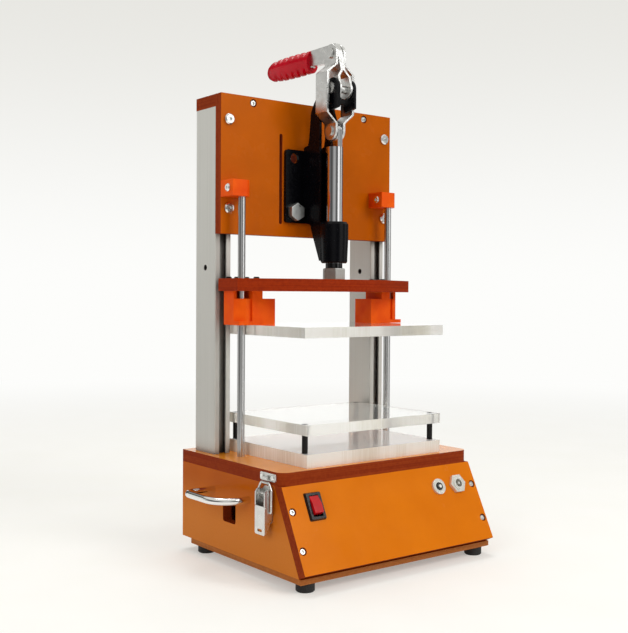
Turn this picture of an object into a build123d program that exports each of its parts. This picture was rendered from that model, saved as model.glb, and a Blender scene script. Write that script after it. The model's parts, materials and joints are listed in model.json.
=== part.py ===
from build123d import *
from math import asin, atan, cos, degrees, radians, sin, sqrt
import os

# A hand-press fixture for testing circuit boards. A box with a sloping front carries a hinged deck.
# Two columns on the deck hold a head plate with a toggle clamp, which pushes a platen down two rods.
# Millimetres. X is to the right seen from the front, Y to the rear, Z up, and Z = 0 is the floor.
# X = 0 and Y = 0 are the middle of the whole object, from the box's front foot to the lever's tip.

# Whole object, from front to back
overall_depth = 185.5

# Box
base_width = 193.0
base_depth = 170.0
deck_height = 83.0
deck_thickness = 10.0
deck_corner = 8.0
wall = 8.0
front_tilt = 26.4
bottom_thickness = 4.0
bottom_front_lip = 2.0
bottom_rear_gap = 14.0
foot_height = 7.0
foot_radius = 7.0
foot_inset = 10.0
bottom_screw_inset = 30.0
foot_setback = 8.0

# Screws of the box
panel_screw_radius = 1.6
panel_screw_head = 2.7
panel_screw_bite = 8.0
recess_depth = 2.4

# Things on the front panel, placed by x and by their distance up the slope
control_rise = 48.0
switch_from_side = 24.5
switch_width = 15.0
switch_height = 21.4
switch_depth = 18.0
bezel_height = 2.0
rocker_width = 8.0
rocker_length = 13.5
rocker_rise = 2.4
rocker_lean = 10.0
lamp_from_side = 42.5
lamp_radius = 3.4
jack_from_side = 21.5
jack_radius = 5.4
jack_nut_width = 14.0

# Things on the box's sides
window_from_middle = 13.5
window_below_deck = 40.0
window_width = 18.0
window_height = 17.0
carry_from_middle = 11.0
carry_below_deck = 26.0
carry_span = 50.0
carry_reach = 26.0
carry_bar_radius = 2.75
carry_bend_front = 20.0
carry_bend_rear = 7.0
carry_screw_bite = 6.0
latch_from_middle = -40.0
latch_below_deck = 16.2
latch_pivot_off = 4.6
latch_sheet = 1.2
latch_pin = 1.0
latch_half_width = 6.4
latch_ear = 3.4
latch_base_below = 22.5
latch_base_above = 5.0
latch_lever_top = 9.0
latch_lever_bottom = 30.0
bail_wire = 0.85
bail_off = 3.4
bail_drop = 13.5
bail_spread = 8.2
bail_taper = 5.2
catch_rise = 2.5
catch_height = 6.0
catch_width = 19.0
catch_screw_x = 6.5
hook_half = 3.4
hook_off = 4.2
sheet_screw_radius = 1.2
sheet_screw_length = 6.0

# Hinges at the rear
hinge_x = 55.0
hinge_width = 30.0
hinge_leaf = 8.6
hinge_sheet = 1.5
hinge_knuckle = 2.4
hinge_pin = 1.2

# Columns, cap and head plate
column_inset = 6.5
column_rear_inset = 9.0
column_width = 15.0
column_depth = 30.0
column_length = 280.0
column_slot = 6.2
column_slot_inner = 9.6
column_slot_lip = 1.8
column_slot_floor = 4.6
column_bore = 2.1
column_hole_rise = 151.0
column_hole_radius = 2.4
cap_thickness = 10.0
head_thickness = 8.0
head_height = 112.0
head_screw_inset = 20.5
head_slot_x = 31.2
head_slot_width = 3.0
head_slot_length = 75.0
head_slot_rise = 10.0
cap_screw_x = 59.0
cap_screw_radius = 2.0
cap_screw_head = 3.0
cap_screw_bite = 10.0

# Guide rods and the clamps that hold their tops
rod_inset = 4.9
rod_radius = 3.0
rod_standoff = 11.8
rod_seat = 4.0
rod_clamp_rise = 29.0
rod_clamp_height = 13.0
rod_clamp_wall = 3.0
rod_clamp_side = 12.4

# Toggle clamp, placed from the bottom edge of its flange
clamp_rise = 11.5
flange_width = 56.0
flange_height = 61.0
flange_thickness = 3.0
flange_hole_x = 19.0
flange_hole_low = 9.0
flange_hole_pitch = 45.0
flange_hole_radius = 4.3
bolt_radius = 4.0
bolt_width = 13.0
bolt_head = 5.3
bolt_nut_height = 6.5
bolt_tail = 8.0
plunger_standoff = 29.5
plunger_radius = 7.0
plunger_stud = 4.0
cheek_gap = 7.2
cheek_sheet = 2.3
barrel_radius = 11.8
barrel_foot = 34.0
barrel_taper = 0.8
pivot_rise = 108.0
pivot_offset = 7.4
pivot_radius = 3.0
ear_radius = 8.5
crank_radius = 31.0
link_length = 63.6
link_width = 15.0
link_sheet = 2.5
link_gap = 2.7
link_bulge = 12.0
tang_thickness = 4.8
tang_length = 13.0
lever_sheet = 2.5
lever_fork = 4.4
lever_height = 13.0
lever_rise = 8.0
lever_tang = 10.0
lever_eye = 7.5
grip_height = 20.0
grip_thickness = 13.0
grip_start = 31.0
grip_tip = 14.0
grip_drop = 9.0
grip_rise = 1.0
grip_groove = 2.2
grip_grooves = 6
rivet_radius = 3.0
rivet_head = 1.6

# Press carriage, hung from the barrel's foot
nut_gap = 4.1
platen_thickness = 10.0
platen_overhang = 12.9
platen_depth = 28.0
nose_half_width = 42.0
nose_reach = 24.0
bracket_height = 27.0
bracket_outer = 8.5
bracket_inner = 14.3
bracket_wing = 26.5
bracket_front = 9.0
bracket_rear = 12.6
bracket_step = 6.0
bracket_base = 3.0
bracket_corner = 7.2
bracket_groove = 3.1
bracket_groove_depth = 2.0
bracket_screw_inset = 3.6
bracket_screw_bite = 10.0
pressure_screw_bite = 9.0
bearing_radius = 6.0
bearing_length = 19.0
nut_width = 17.0
nut_height = 9.4

# Acrylic plates
acrylic = 8.0
probe_thickness = 10.0
plate_side_gap = 8.6
plate_ahead = 50.0
plate_behind = 57.0
pressure_overhang = 2.5
standoff_height = 14.0
standoff_radius = 2.3
standoff_inset = 4.0
standoff_front_inset = 8.0
plate_screw_radius = 1.5
plate_screw_head = 2.7

# Clearances
slide = 0.05
gap = 0.3

# Places worked out from the sizes above
half_width = base_width / 2
switch_x = switch_from_side - half_width
lamp_x = half_width - lamp_from_side
jack_x = half_width - jack_from_side
window_z = deck_height - window_below_deck
carry_z = deck_height - carry_below_deck
foot_y = -overall_depth / 2
rear_y = foot_y + base_depth
box_y = foot_y + base_depth / 2
box_bottom = foot_height + bottom_thickness
box_top = deck_height - deck_thickness
tilt = radians(front_tilt)
slope = (box_top - box_bottom - wall * sin(tilt)) / cos(tilt)
deck_front = foot_y + slope * sin(tilt)
slope_foot_z = box_top - slope * cos(tilt)
window_y = box_y + window_from_middle
carry_y = box_y + carry_from_middle
latch_y = box_y + latch_from_middle
plate_front = box_y - plate_ahead
plate_rear = box_y + plate_behind
edge_x = half_width - wall / 2
bottom_front = foot_y + wall * cos(tilt) - bottom_front_lip
bottom_rear = rear_y - bottom_rear_gap

column_x = half_width - column_inset - column_width / 2
rod_x = column_x - rod_inset
plate_width = 2 * (rod_x - plate_side_gap)
pressure_width = plate_width + 2 * pressure_overhang
platen_width = 2 * (rod_x + platen_overhang)
column_rear = rear_y - column_rear_inset
column_front = column_rear - column_depth
column_y = column_rear - column_depth / 2
column_top = deck_height + column_length
cap_top = column_top + cap_thickness
cap_half = column_x + column_width / 2
head_front = column_front - head_thickness
head_bottom = cap_top - head_height
rod_y = head_front - rod_standoff
rod_clamp_bottom = head_bottom + rod_clamp_rise
rod_top = rod_clamp_bottom + rod_clamp_height - 1

clamp_z = head_bottom + clamp_rise
flange_front = head_front - flange_thickness
plunger_y = flange_front - plunger_standoff
barrel_bottom = clamp_z - barrel_foot
pivot_y = plunger_y - pivot_offset
pivot_z = clamp_z + pivot_rise
crank_y = plunger_y
crank_z = pivot_z + sqrt(crank_radius**2 - pivot_offset**2)
tang_z = crank_z - link_length
cheek_outer = cheek_gap + cheek_sheet

platen_top = barrel_bottom - nut_gap - nut_height
platen_bottom = platen_top - platen_thickness
platen_rear = rod_y + platen_depth / 2
platen_front = rod_y - platen_depth / 2
bracket_bottom = platen_bottom - bracket_height
probe_top = deck_height + probe_thickness
carrier_bottom = probe_top + standoff_height
carrier_top = carrier_bottom + acrylic
pressure_bottom = bracket_bottom - acrylic
standoff_x = plate_width / 2 - standoff_inset
standoff_front = plate_front + standoff_front_inset
standoff_rear = plate_rear - standoff_inset

hinge_y = rear_y + hinge_knuckle + 0.1
hinge_z = box_top

# Planes that things are placed on. On the front plane, x is across and y is up the slope.
front_plane = Plane(origin=(0, foot_y, slope_foot_z), x_dir=(1, 0, 0), z_dir=(0, -cos(tilt), sin(tilt)))
head_plane = Plane(origin=(0, head_front, 0), x_dir=(1, 0, 0), z_dir=(0, -1, 0))

os.makedirs("parts", exist_ok=True)


def save(part, name):
    """Label a finished piece and write its file."""
    part.label = name
    export_step(part, f"parts/{name}.step")


def facing(x, y, z, direction):
    """A place at a point, with its local Z along a direction."""
    return Plane(origin=(x, y, z), z_dir=direction).location


def on_front(x, rise):
    """A place on the sloping front, facing out of it."""
    return front_plane.location * Location((x, rise, 0))


def round_screw(radius, length, head_radius, head_height, socket=0.0):
    """A screw with a bevelled head on Z = 0, its shank below and, if asked for, a hexagon socket."""
    bevel = head_height * 0.4
    with BuildPart() as screw:
        with BuildSketch(Plane.XZ):
            with BuildLine():
                Polyline(
                    (0, head_height),
                    (head_radius - bevel, head_height),
                    (head_radius, head_height - bevel),
                    (head_radius, 0),
                    (radius, 0),
                    (radius, -length),
                    (0, -length),
                    close=True,
                )
            make_face()
        revolve(axis=Axis.Z)
        if socket > 0:
            with BuildSketch(Plane.XY.offset(head_height)):
                RegularPolygon(socket, 6)
            extrude(amount=-head_height * 0.6, mode=Mode.SUBTRACT)
    return screw.part


def sunk_hole(radius, length, recess_radius, recess_depth):
    """The hole for a round screw whose head lies in a recess, open at Z = 0."""
    with BuildPart() as hole:
        with BuildSketch(Plane.XZ):
            with BuildLine():
                Polyline(
                    (0, 0),
                    (recess_radius, 0),
                    (recess_radius, -recess_depth),
                    (radius, -recess_depth),
                    (radius, -length),
                    (0, -length),
                    close=True,
                )
            make_face()
        revolve(axis=Axis.Z)
    return hole.part


def flush_screw(radius, length, head_radius):
    """A countersunk screw with its head flush at Z = 0 and a cross slot in it."""
    with BuildPart() as screw:
        with BuildSketch(Plane.XZ):
            with BuildLine():
                Polyline(
                    (0, 0),
                    (head_radius, 0),
                    (head_radius, -0.4),
                    (radius, radius - head_radius - 0.4),
                    (radius, -length),
                    (0, -length),
                    close=True,
                )
            make_face()
        revolve(axis=Axis.Z)
        with BuildSketch(Plane.XY):
            Rectangle(head_radius * 1.2, head_radius * 0.28)
            Rectangle(head_radius * 0.28, head_radius * 1.2)
        extrude(amount=-0.8, mode=Mode.SUBTRACT)
    return screw.part


def flush_hole(radius, length, head_radius):
    """The hole that a countersunk screw fills, open at Z = 0."""
    with BuildPart() as hole:
        with BuildSketch(Plane.XZ):
            with BuildLine():
                Polyline(
                    (0, 0),
                    (head_radius, 0),
                    (head_radius, -0.4),
                    (radius, radius - head_radius - 0.4),
                    (radius, -length),
                    (0, -length),
                    close=True,
                )
            make_face()
        revolve(axis=Axis.Z)
    return hole.part


def hex_piece(width, height, bore=0.0):
    """A hexagonal nut or bolt head that stands on Z = 0."""
    with BuildPart() as piece:
        with BuildSketch(Plane.XY):
            RegularPolygon(width / 2, 6, major_radius=False)
            if bore > 0:
                Circle(bore, mode=Mode.SUBTRACT)
        extrude(amount=height)
    return piece.part


# Screws that hold the box's panels together, all of one size, with their heads sunk in recesses
panel_screw_length = wall + panel_screw_bite - recess_depth
panel_screw = round_screw(panel_screw_radius, panel_screw_length, panel_screw_head, 1.8, 1.3)
panel_hole = sunk_hole(panel_screw_radius, wall + panel_screw_bite, panel_screw_head + gap, recess_depth)
panel_hole_places = [on_front(side * edge_x, slope * share) for side in (-1, 1) for share in (0.27, 0.71)]
panel_hole_places += [
    facing(side * edge_x, y, foot_height, (0, 0, -1))
    for side in (-1, 1)
    for y in (bottom_front + bottom_screw_inset, bottom_rear - bottom_screw_inset)
]
panel_screw_places = [place * Location((0, 0, -recess_depth)) for place in panel_hole_places]

# The feet's screws
foot_places = [
    (side * (half_width - foot_inset), y)
    for side in (-1, 1)
    for y in (bottom_front + foot_setback, bottom_rear - foot_setback)
]
foot_screw_radius = 1.5
foot_screw_head = 3.0

# Bottom plate, under the box and short of its rear
with BuildPart() as bottom_plate:
    with BuildSketch(Plane.XY.offset(foot_height)):
        with Locations((0, (bottom_front + bottom_rear) / 2)):
            Rectangle(base_width, bottom_rear - bottom_front)
    extrude(amount=bottom_thickness)
    with BuildSketch(Plane.XY.offset(foot_height)):
        with Locations(*foot_places):
            Circle(foot_screw_radius)
    extrude(amount=bottom_thickness, mode=Mode.SUBTRACT)
    with Locations(*panel_hole_places[4:]):
        add(panel_hole, mode=Mode.SUBTRACT)
save(bottom_plate.part, "bottom_plate")

# Round rubber feet with a recess for the screw
with BuildPart() as rubber_feet:
    with BuildSketch(Plane.XY):
        with Locations(*foot_places):
            Circle(foot_radius)
    extrude(amount=foot_height)
    chamfer(rubber_feet.edges().group_by(Axis.Z)[0], 0.8)
    with BuildSketch(Plane.XY):
        with Locations(*foot_places):
            Circle(foot_screw_head + gap)
    extrude(amount=foot_height / 2, mode=Mode.SUBTRACT)
    with BuildSketch(Plane.XY):
        with Locations(*foot_places):
            Circle(foot_screw_radius)
    extrude(amount=foot_height, mode=Mode.SUBTRACT)
save(rubber_feet.part, "rubber_feet")

foot_screw = round_screw(foot_screw_radius, foot_height / 2 + bottom_thickness, foot_screw_head, 1.6)
with BuildPart() as foot_screws:
    with Locations(*[facing(x, y, foot_height / 2, (0, 0, -1)) for x, y in foot_places]):
        add(foot_screw)
save(foot_screws.part, "foot_screws")

# Latch sizes worked out from the sheet's thickness. The base is fixed to the box and the lever turns on a
# pin between its ears. The wire bail turns in the lever and rests just under the catch's hook.
latch_pivot_x = half_width + latch_pivot_off
latch_face_x = latch_pivot_x + latch_ear - latch_sheet
bail_x = half_width + bail_off
flange_outer = latch_half_width
flange_inner = flange_outer - latch_sheet
ear_outer = flange_inner - 0.2
ear_inner = ear_outer - latch_sheet
latch_pivot_z = deck_height - latch_below_deck
bail_z = latch_pivot_z - bail_drop
catch_bottom = box_top + catch_rise
catch_mid = catch_bottom + catch_height / 2
hook_x = half_width + hook_off
bail_top = catch_bottom - 1.0
latch_screw_zs = [latch_pivot_z - 4.5, latch_pivot_z - 18.0]
latch_screw_places = [
    facing(side * (half_width + latch_sheet), latch_y, z, (side, 0, 0))
    for side in (-1, 1)
    for z in latch_screw_zs
]
catch_screw_places = [
    facing(side * (half_width + latch_sheet), latch_y + y, catch_mid, (side, 0, 0))
    for side in (-1, 1)
    for y in (-catch_screw_x, catch_screw_x)
]
sheet_screw = round_screw(sheet_screw_radius, sheet_screw_length, 2.1, 1.0)

# Side panels, with the front edge cut to the slope. The left one has a rectangular port in it.
side_outline = [
    (rear_y, box_bottom),
    (foot_y + wall * cos(tilt), box_bottom),
    (deck_front + wall / cos(tilt), box_top),
    (rear_y, box_top),
]
carry_ends = [carry_y - carry_span / 2, carry_y + carry_span / 2]
carry_screw_radius = 2.0

with BuildPart() as side_panel_left:
    with BuildSketch(Plane.YZ.offset(-half_width)):
        with BuildLine():
            Polyline(*side_outline, close=True)
        make_face()
        with Locations((window_y, window_z)):
            RectangleRounded(window_width, window_height, 2, mode=Mode.SUBTRACT)
        with Locations(*[(y, carry_z) for y in carry_ends]):
            Circle(carry_screw_radius, mode=Mode.SUBTRACT)
    extrude(amount=wall)
    with Locations(*panel_hole_places):
        add(panel_hole, mode=Mode.SUBTRACT)
    with Locations(*latch_screw_places):
        Cylinder(sheet_screw_radius, 2 * sheet_screw_length, mode=Mode.SUBTRACT)
save(side_panel_left.part, "side_panel_left")

with BuildPart() as side_panel_right:
    with BuildSketch(Plane.YZ.offset(half_width)):
        with BuildLine():
            Polyline(*side_outline, close=True)
        make_face()
        with Locations(*[(y, carry_z) for y in carry_ends]):
            Circle(carry_screw_radius, mode=Mode.SUBTRACT)
    extrude(amount=-wall)
    with Locations(*panel_hole_places):
        add(panel_hole, mode=Mode.SUBTRACT)
    with Locations(*latch_screw_places):
        Cylinder(sheet_screw_radius, 2 * sheet_screw_length, mode=Mode.SUBTRACT)
save(side_panel_right.part, "side_panel_right")

# Back panel, glued between the side panels
with BuildPart() as back_panel:
    with BuildSketch(Plane.XZ.offset(-rear_y)):
        with Locations((0, (box_bottom + box_top) / 2)):
            Rectangle(base_width - 2 * wall, box_top - box_bottom)
    extrude(amount=wall)
save(back_panel.part, "back_panel")

# Front panel, laid on the sloping edges of the side panels, with the openings for the controls
switch_body_width = switch_width - 2.2
switch_body_height = switch_height - 2.4
lamp_body_radius = lamp_radius + 0.8
with BuildPart() as front_panel:
    with BuildSketch(Plane.YZ.offset(-half_width)):
        with BuildLine():
            Polyline(
                (foot_y, slope_foot_z),
                (foot_y + wall * cos(tilt), box_bottom),
                (deck_front + wall / cos(tilt), box_top),
                (deck_front, box_top),
                close=True,
            )
        make_face()
    extrude(amount=base_width)
    with BuildSketch(front_plane):
        with Locations((switch_x, control_rise)):
            Rectangle(switch_body_width, switch_body_height)
        with Locations((lamp_x, control_rise)):
            Circle(lamp_body_radius)
        with Locations((jack_x, control_rise)):
            Circle(jack_radius)
    extrude(amount=-wall * 1.5, mode=Mode.SUBTRACT)
    with Locations(*panel_hole_places[:4]):
        add(panel_hole, mode=Mode.SUBTRACT)
save(front_panel.part, "front_panel")

with BuildPart() as panel_screws:
    with Locations(*panel_screw_places):
        add(panel_screw)
save(panel_screws.part, "panel_screws")

# Rocker switch. Its housing clips into the panel, and the rocker turns on two stub pins in it.
rocker_pivot_depth = 2.0
rocker_pin = 1.0
rocker_opening = rocker_length / 2 + 1.2
rocker_plane = Plane(
    origin=(front_plane.location * Location((switch_x, control_rise, -rocker_pivot_depth))).position,
    x_dir=(0, sin(tilt), cos(tilt)),
    z_dir=(1, 0, 0),
)
with BuildPart() as switch_housing:
    with BuildSketch(front_plane):
        with Locations((switch_x, control_rise)):
            RectangleRounded(switch_width, switch_height, 1.2)
    extrude(amount=bezel_height, taper=25)
    with BuildSketch(front_plane):
        with Locations((switch_x, control_rise)):
            Rectangle(switch_body_width, switch_body_height)
    extrude(amount=-switch_depth)
    with BuildSketch(front_plane.offset(bezel_height)):
        with Locations((switch_x, control_rise)):
            Rectangle(rocker_width + 0.6, 2 * rocker_opening)
    extrude(amount=-(bezel_height + rocker_pivot_depth + 6.5), mode=Mode.SUBTRACT)
    with BuildSketch(rocker_plane.offset(-(rocker_width / 2 + 1.0))):
        Circle(rocker_pin + slide)
    extrude(amount=rocker_width + 2.0, mode=Mode.SUBTRACT)
    with BuildSketch(front_plane.offset(-switch_depth)):
        with Locations((switch_x, control_rise - 5), (switch_x, control_rise + 5)):
            Rectangle(4.8, 0.8)
    extrude(amount=-7)
save(switch_housing.part, "switch_housing")

lean = radians(rocker_lean)
rocker_mid = bezel_height + rocker_pivot_depth + rocker_rise
rocker_end = rocker_mid - rocker_length / 2 * sin(lean) / cos(lean)
rocker_outline = [
    (-rocker_length / 2, rocker_end),
    (0, rocker_mid),
    (rocker_length / 2, rocker_end),
    (rocker_length / 2, 1.0),
    (3.0, -4.0),
    (-3.0, -4.0),
    (-rocker_length / 2, 1.0),
]
leaned_outline = [(u * cos(lean) + v * sin(lean), v * cos(lean) - u * sin(lean)) for u, v in rocker_outline]
with BuildPart() as switch_rocker:
    with BuildSketch(rocker_plane.offset(-rocker_width / 2)):
        with BuildLine():
            Polyline(*leaned_outline, close=True)
        make_face()
    extrude(amount=rocker_width)
    with BuildSketch(rocker_plane.offset(-(rocker_width / 2 + 0.9))):
        Circle(rocker_pin)
    extrude(amount=rocker_width + 1.8)
save(switch_rocker.part, "switch_rocker")

# Indicator lamp: a metal bezel with a threaded body, its lens, and its nut behind the panel
lamp_flange = lamp_radius + 3.0
with BuildPart() as lamp_bezel:
    with BuildSketch(front_plane):
        with Locations((lamp_x, control_rise)):
            Circle(lamp_flange)
    extrude(amount=1.8)
    with BuildSketch(front_plane):
        with Locations((lamp_x, control_rise)):
            Circle(lamp_body_radius)
    extrude(amount=-18)
    with BuildSketch(front_plane.offset(1.8)):
        with Locations((lamp_x, control_rise)):
            Circle(lamp_radius)
    extrude(amount=-8, mode=Mode.SUBTRACT)
save(lamp_bezel.part, "lamp_bezel")

with BuildPart() as lamp_lens:
    with BuildSketch(front_plane.offset(-6.2)):
        with Locations((lamp_x, control_rise)):
            Circle(lamp_radius)
    extrude(amount=9.4)
    fillet(lamp_lens.edges().sort_by(Axis(front_plane.origin, front_plane.z_dir))[-1], 1.6)
save(lamp_lens.part, "lamp_lens")

# Power jack: a round metal body with a bore and a centre pin, and a hexagon nut on the front
with BuildPart() as power_jack:
    with BuildSketch(front_plane.offset(3.4)):
        with Locations((jack_x, control_rise)):
            Circle(jack_radius)
    extrude(amount=-(3.4 + wall + 12))
    with BuildSketch(front_plane.offset(3.4)):
        with Locations((jack_x, control_rise)):
            Circle(3.2)
            Circle(1.1, mode=Mode.SUBTRACT)
    extrude(amount=-10, mode=Mode.SUBTRACT)
save(power_jack.part, "power_jack")

with BuildPart() as panel_nuts:
    with Locations(on_front(jack_x, control_rise)):
        add(hex_piece(jack_nut_width, 2.6, jack_radius))
    with Locations(on_front(lamp_x, control_rise) * Location((0, 0, -wall - 2.5))):
        add(hex_piece(lamp_flange * 1.7, 2.5, lamp_body_radius))
save(panel_nuts.part, "panel_nuts")


def carry_handle(side):
    """A bent bar that stands on two points of a side panel, with a hole in each end for its screw."""
    face = side * half_width
    reach = side * (half_width + carry_reach)
    with BuildPart() as handle:
        with BuildLine(Plane.XY.offset(carry_z)) as path:
            FilletPolyline(
                (face, carry_ends[0]),
                (reach, carry_ends[0]),
                (reach, carry_ends[1]),
                (face, carry_ends[1]),
                radius=(carry_bend_front, carry_bend_rear),
            )
        with BuildSketch(Plane(origin=(face, carry_ends[0], carry_z), z_dir=(side, 0, 0))):
            Circle(carry_bar_radius)
        sweep(path=path.wires()[0])
        with BuildSketch(Plane.YZ.offset(face)):
            with Locations(*[(y, carry_z) for y in carry_ends]):
                Circle(carry_screw_radius)
        extrude(amount=side * carry_screw_bite, mode=Mode.SUBTRACT)
    return handle.part


with BuildPart() as carry_handles:
    add(carry_handle(-1))
    add(carry_handle(1))
save(carry_handles.part, "carry_handles")

carry_screw = round_screw(carry_screw_radius, wall + carry_screw_bite, 3.8, 2.2)
with BuildPart() as carry_handle_screws:
    for side in (-1, 1):
        with Locations(*[facing(side * (half_width - wall), y, carry_z, (-side, 0, 0)) for y in carry_ends]):
            add(carry_screw)
save(carry_handle_screws.part, "carry_handle_screws")


def latch_base(side):
    """A sheet plate on the box with two ears for the lever's pin."""
    face = side * half_width
    with BuildPart() as base:
        with BuildSketch(Plane.YZ.offset(face)):
            with Locations((latch_y, latch_pivot_z + (latch_base_above - latch_base_below) / 2)):
                RectangleRounded(2 * ear_outer, latch_base_above + latch_base_below, 2)
            with Locations(*[(latch_y, z) for z in latch_screw_zs]):
                Circle(sheet_screw_radius, mode=Mode.SUBTRACT)
        extrude(amount=side * latch_sheet)
        for start in (ear_outer, -ear_inner):
            with BuildSketch(Plane.XZ.offset(-(latch_y + start))):
                with BuildLine():
                    Polyline(
                        (face, latch_pivot_z - 2 * latch_ear),
                        (side * latch_pivot_x, latch_pivot_z - 2.4),
                        (side * latch_pivot_x, latch_pivot_z + 2.4),
                        (face, latch_pivot_z + latch_base_above - 1),
                        close=True,
                    )
                make_face()
                with Locations((side * latch_pivot_x, latch_pivot_z)):
                    Circle(2.4)
                    Circle(latch_pin, mode=Mode.SUBTRACT)
            extrude(amount=latch_sheet)
    return base.part


def latch_lever(side):
    """A channel of sheet metal: two flanges with round ears on the pin, and a plate to pull on."""
    outer = side * (latch_face_x + latch_sheet)
    inner = side * latch_face_x
    near = side * (latch_pivot_x - latch_ear)
    top = latch_pivot_z - latch_lever_top
    bottom = latch_pivot_z - latch_lever_bottom
    with BuildPart() as lever:
        with BuildSketch(Plane.YZ.offset(inner)):
            with Locations((latch_y, (top + bottom) / 2)):
                RectangleRounded(2 * flange_outer, top - bottom, 1.5)
            with Locations((latch_y, bottom + 3.2)):
                SlotOverall(6, 2, mode=Mode.SUBTRACT)
        extrude(amount=side * latch_sheet)
        for start in (latch_y + flange_outer, latch_y - flange_inner):
            with BuildSketch(Plane.XZ.offset(-start)):
                with BuildLine():
                    Polyline(
                        (inner, bottom + 1.5),
                        (side * (latch_face_x - 1.4), bottom + 2.5),
                        (near, bail_z - 3.0),
                        (near, latch_pivot_z),
                        (outer, latch_pivot_z),
                        (outer, top),
                        (inner, top),
                        close=True,
                    )
                make_face()
                with Locations((side * latch_pivot_x, latch_pivot_z)):
                    Circle(latch_ear)
                    Circle(latch_pin + slide, mode=Mode.SUBTRACT)
                with Locations((side * bail_x, bail_z)):
                    Circle(bail_wire + slide, mode=Mode.SUBTRACT)
            extrude(amount=latch_sheet)
    return lever.part


def latch_bail(side):
    """A bent wire with its two ends turned into the lever's flanges."""
    narrow = hook_half + 1.6
    points = [
        (latch_y - flange_inner, bail_z),
        (latch_y - bail_spread, bail_z),
        (latch_y - bail_spread, bail_top - bail_taper),
        (latch_y - narrow, bail_top),
        (latch_y + narrow, bail_top),
        (latch_y + bail_spread, bail_top - bail_taper),
        (latch_y + bail_spread, bail_z),
        (latch_y + flange_inner, bail_z),
    ]
    with BuildPart() as bail:
        with BuildLine(Plane.YZ.offset(side * bail_x)) as path:
            FilletPolyline(*points, radius=bail_wire * 1.3)
        with BuildSketch(Plane(origin=(side * bail_x, points[0][0], bail_z), z_dir=(0, -1, 0))):
            Circle(bail_wire)
        sweep(path=path.wires()[0])
    return bail.part


for side, hand in ((-1, "left"), (1, "right")):
    save(latch_lever(side), f"latch_lever_{hand}")
    save(latch_bail(side), f"latch_bail_{hand}")

with BuildPart() as latch_bases:
    add(latch_base(-1))
    add(latch_base(1))
save(latch_bases.part, "latch_bases")

# Catches on the deck's edge, with an upturned hook for the bail
with BuildPart() as latch_catches:
    for side in (-1, 1):
        with BuildSketch(Plane.YZ.offset(side * half_width)):
            with Locations((latch_y, catch_mid)):
                RectangleRounded(catch_width, catch_height, 1.2)
            with Locations(*[(latch_y + y, catch_mid) for y in (-catch_screw_x, catch_screw_x)]):
                Circle(sheet_screw_radius, mode=Mode.SUBTRACT)
        extrude(amount=side * latch_sheet)
        with BuildSketch(Plane.XZ.offset(-(latch_y + hook_half))):
            with BuildLine():
                Polyline(
                    (side * half_width, catch_bottom + 0.4),
                    (side * (hook_x - 0.9), catch_bottom + 0.4),
                    (side * hook_x, catch_bottom + 1.3),
                    (side * hook_x, catch_bottom + 3.6),
                    (side * (hook_x - 1.0), catch_bottom + 3.6),
                    (side * (hook_x - 1.0), catch_bottom + 1.6),
                    (side * half_width, catch_bottom + 1.6),
                    close=True,
                )
            make_face()
        extrude(amount=2 * hook_half)
save(latch_catches.part, "latch_catches")

with BuildPart() as latch_screws:
    with Locations(*latch_screw_places):
        add(sheet_screw)
save(latch_screws.part, "latch_screws")

with BuildPart() as catch_screws:
    with Locations(*catch_screw_places):
        add(sheet_screw)
save(catch_screws.part, "catch_screws")

# Deck: the hinged top of the box. It has seats for the rods and holes for the screws from below.
deck_screw_radius = 2.0
deck_screw_head = 3.4
deck_screw_hole = flush_hole(deck_screw_radius, deck_thickness + 1, deck_screw_head)
plate_screw_hole = flush_hole(plate_screw_radius, deck_thickness + 1, plate_screw_head)
column_bore_y = column_depth / 4
column_bores = [column_y - column_bore_y, column_y + column_bore_y]
column_screw_spots = [(side * column_x, y) for side in (-1, 1) for y in column_bores]
standoff_spots = [(side * standoff_x, y) for side in (-1, 1) for y in (standoff_front, standoff_rear)]
rod_spots = [(-rod_x, rod_y), (rod_x, rod_y)]
with BuildPart() as deck_plate:
    with BuildSketch(Plane.XY.offset(box_top)):
        with Locations((0, (deck_front + rear_y) / 2)):
            Rectangle(base_width, rear_y - deck_front)
    extrude(amount=deck_thickness)
    fillet(deck_plate.edges().filter_by(Axis.Z).group_by(Axis.Y)[0], deck_corner)
    with BuildSketch(Plane.XY.offset(deck_height)):
        with Locations(*rod_spots):
            Circle(rod_radius)
    extrude(amount=-rod_seat, mode=Mode.SUBTRACT)
    with Locations(*[facing(x, y, box_top, (0, 0, -1)) for x, y in column_screw_spots]):
        add(deck_screw_hole, mode=Mode.SUBTRACT)
    with Locations(*[facing(x, y, box_top, (0, 0, -1)) for x, y in standoff_spots]):
        add(plate_screw_hole, mode=Mode.SUBTRACT)
    with Locations(*catch_screw_places):
        Cylinder(sheet_screw_radius, 2 * sheet_screw_length, mode=Mode.SUBTRACT)
save(deck_plate.part, "deck_plate")


def hinge_leaves(z_from, z_to, knuckles):
    """The leaves of both hinges that lie between two heights, with their knuckles on the pin."""
    with BuildPart() as leaves:
        for side in (-1, 1):
            with BuildSketch(Plane.XZ.offset(-rear_y)):
                with Locations((side * hinge_x, (z_from + z_to) / 2)):
                    Rectangle(hinge_width, abs(z_to - z_from))
            extrude(amount=-hinge_sheet)
            for start, length in knuckles:
                with BuildSketch(Plane.YZ.offset(side * hinge_x + start)):
                    with Locations((hinge_y, hinge_z)):
                        Circle(hinge_knuckle)
                    with Locations((rear_y + hinge_sheet / 2, (hinge_z + z_from) / 2)):
                        Rectangle(hinge_sheet, abs(z_from - hinge_z))
                    with Locations((hinge_y, hinge_z)):
                        Circle(hinge_pin + slide, mode=Mode.SUBTRACT)
                extrude(amount=length)
    return leaves.part


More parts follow.
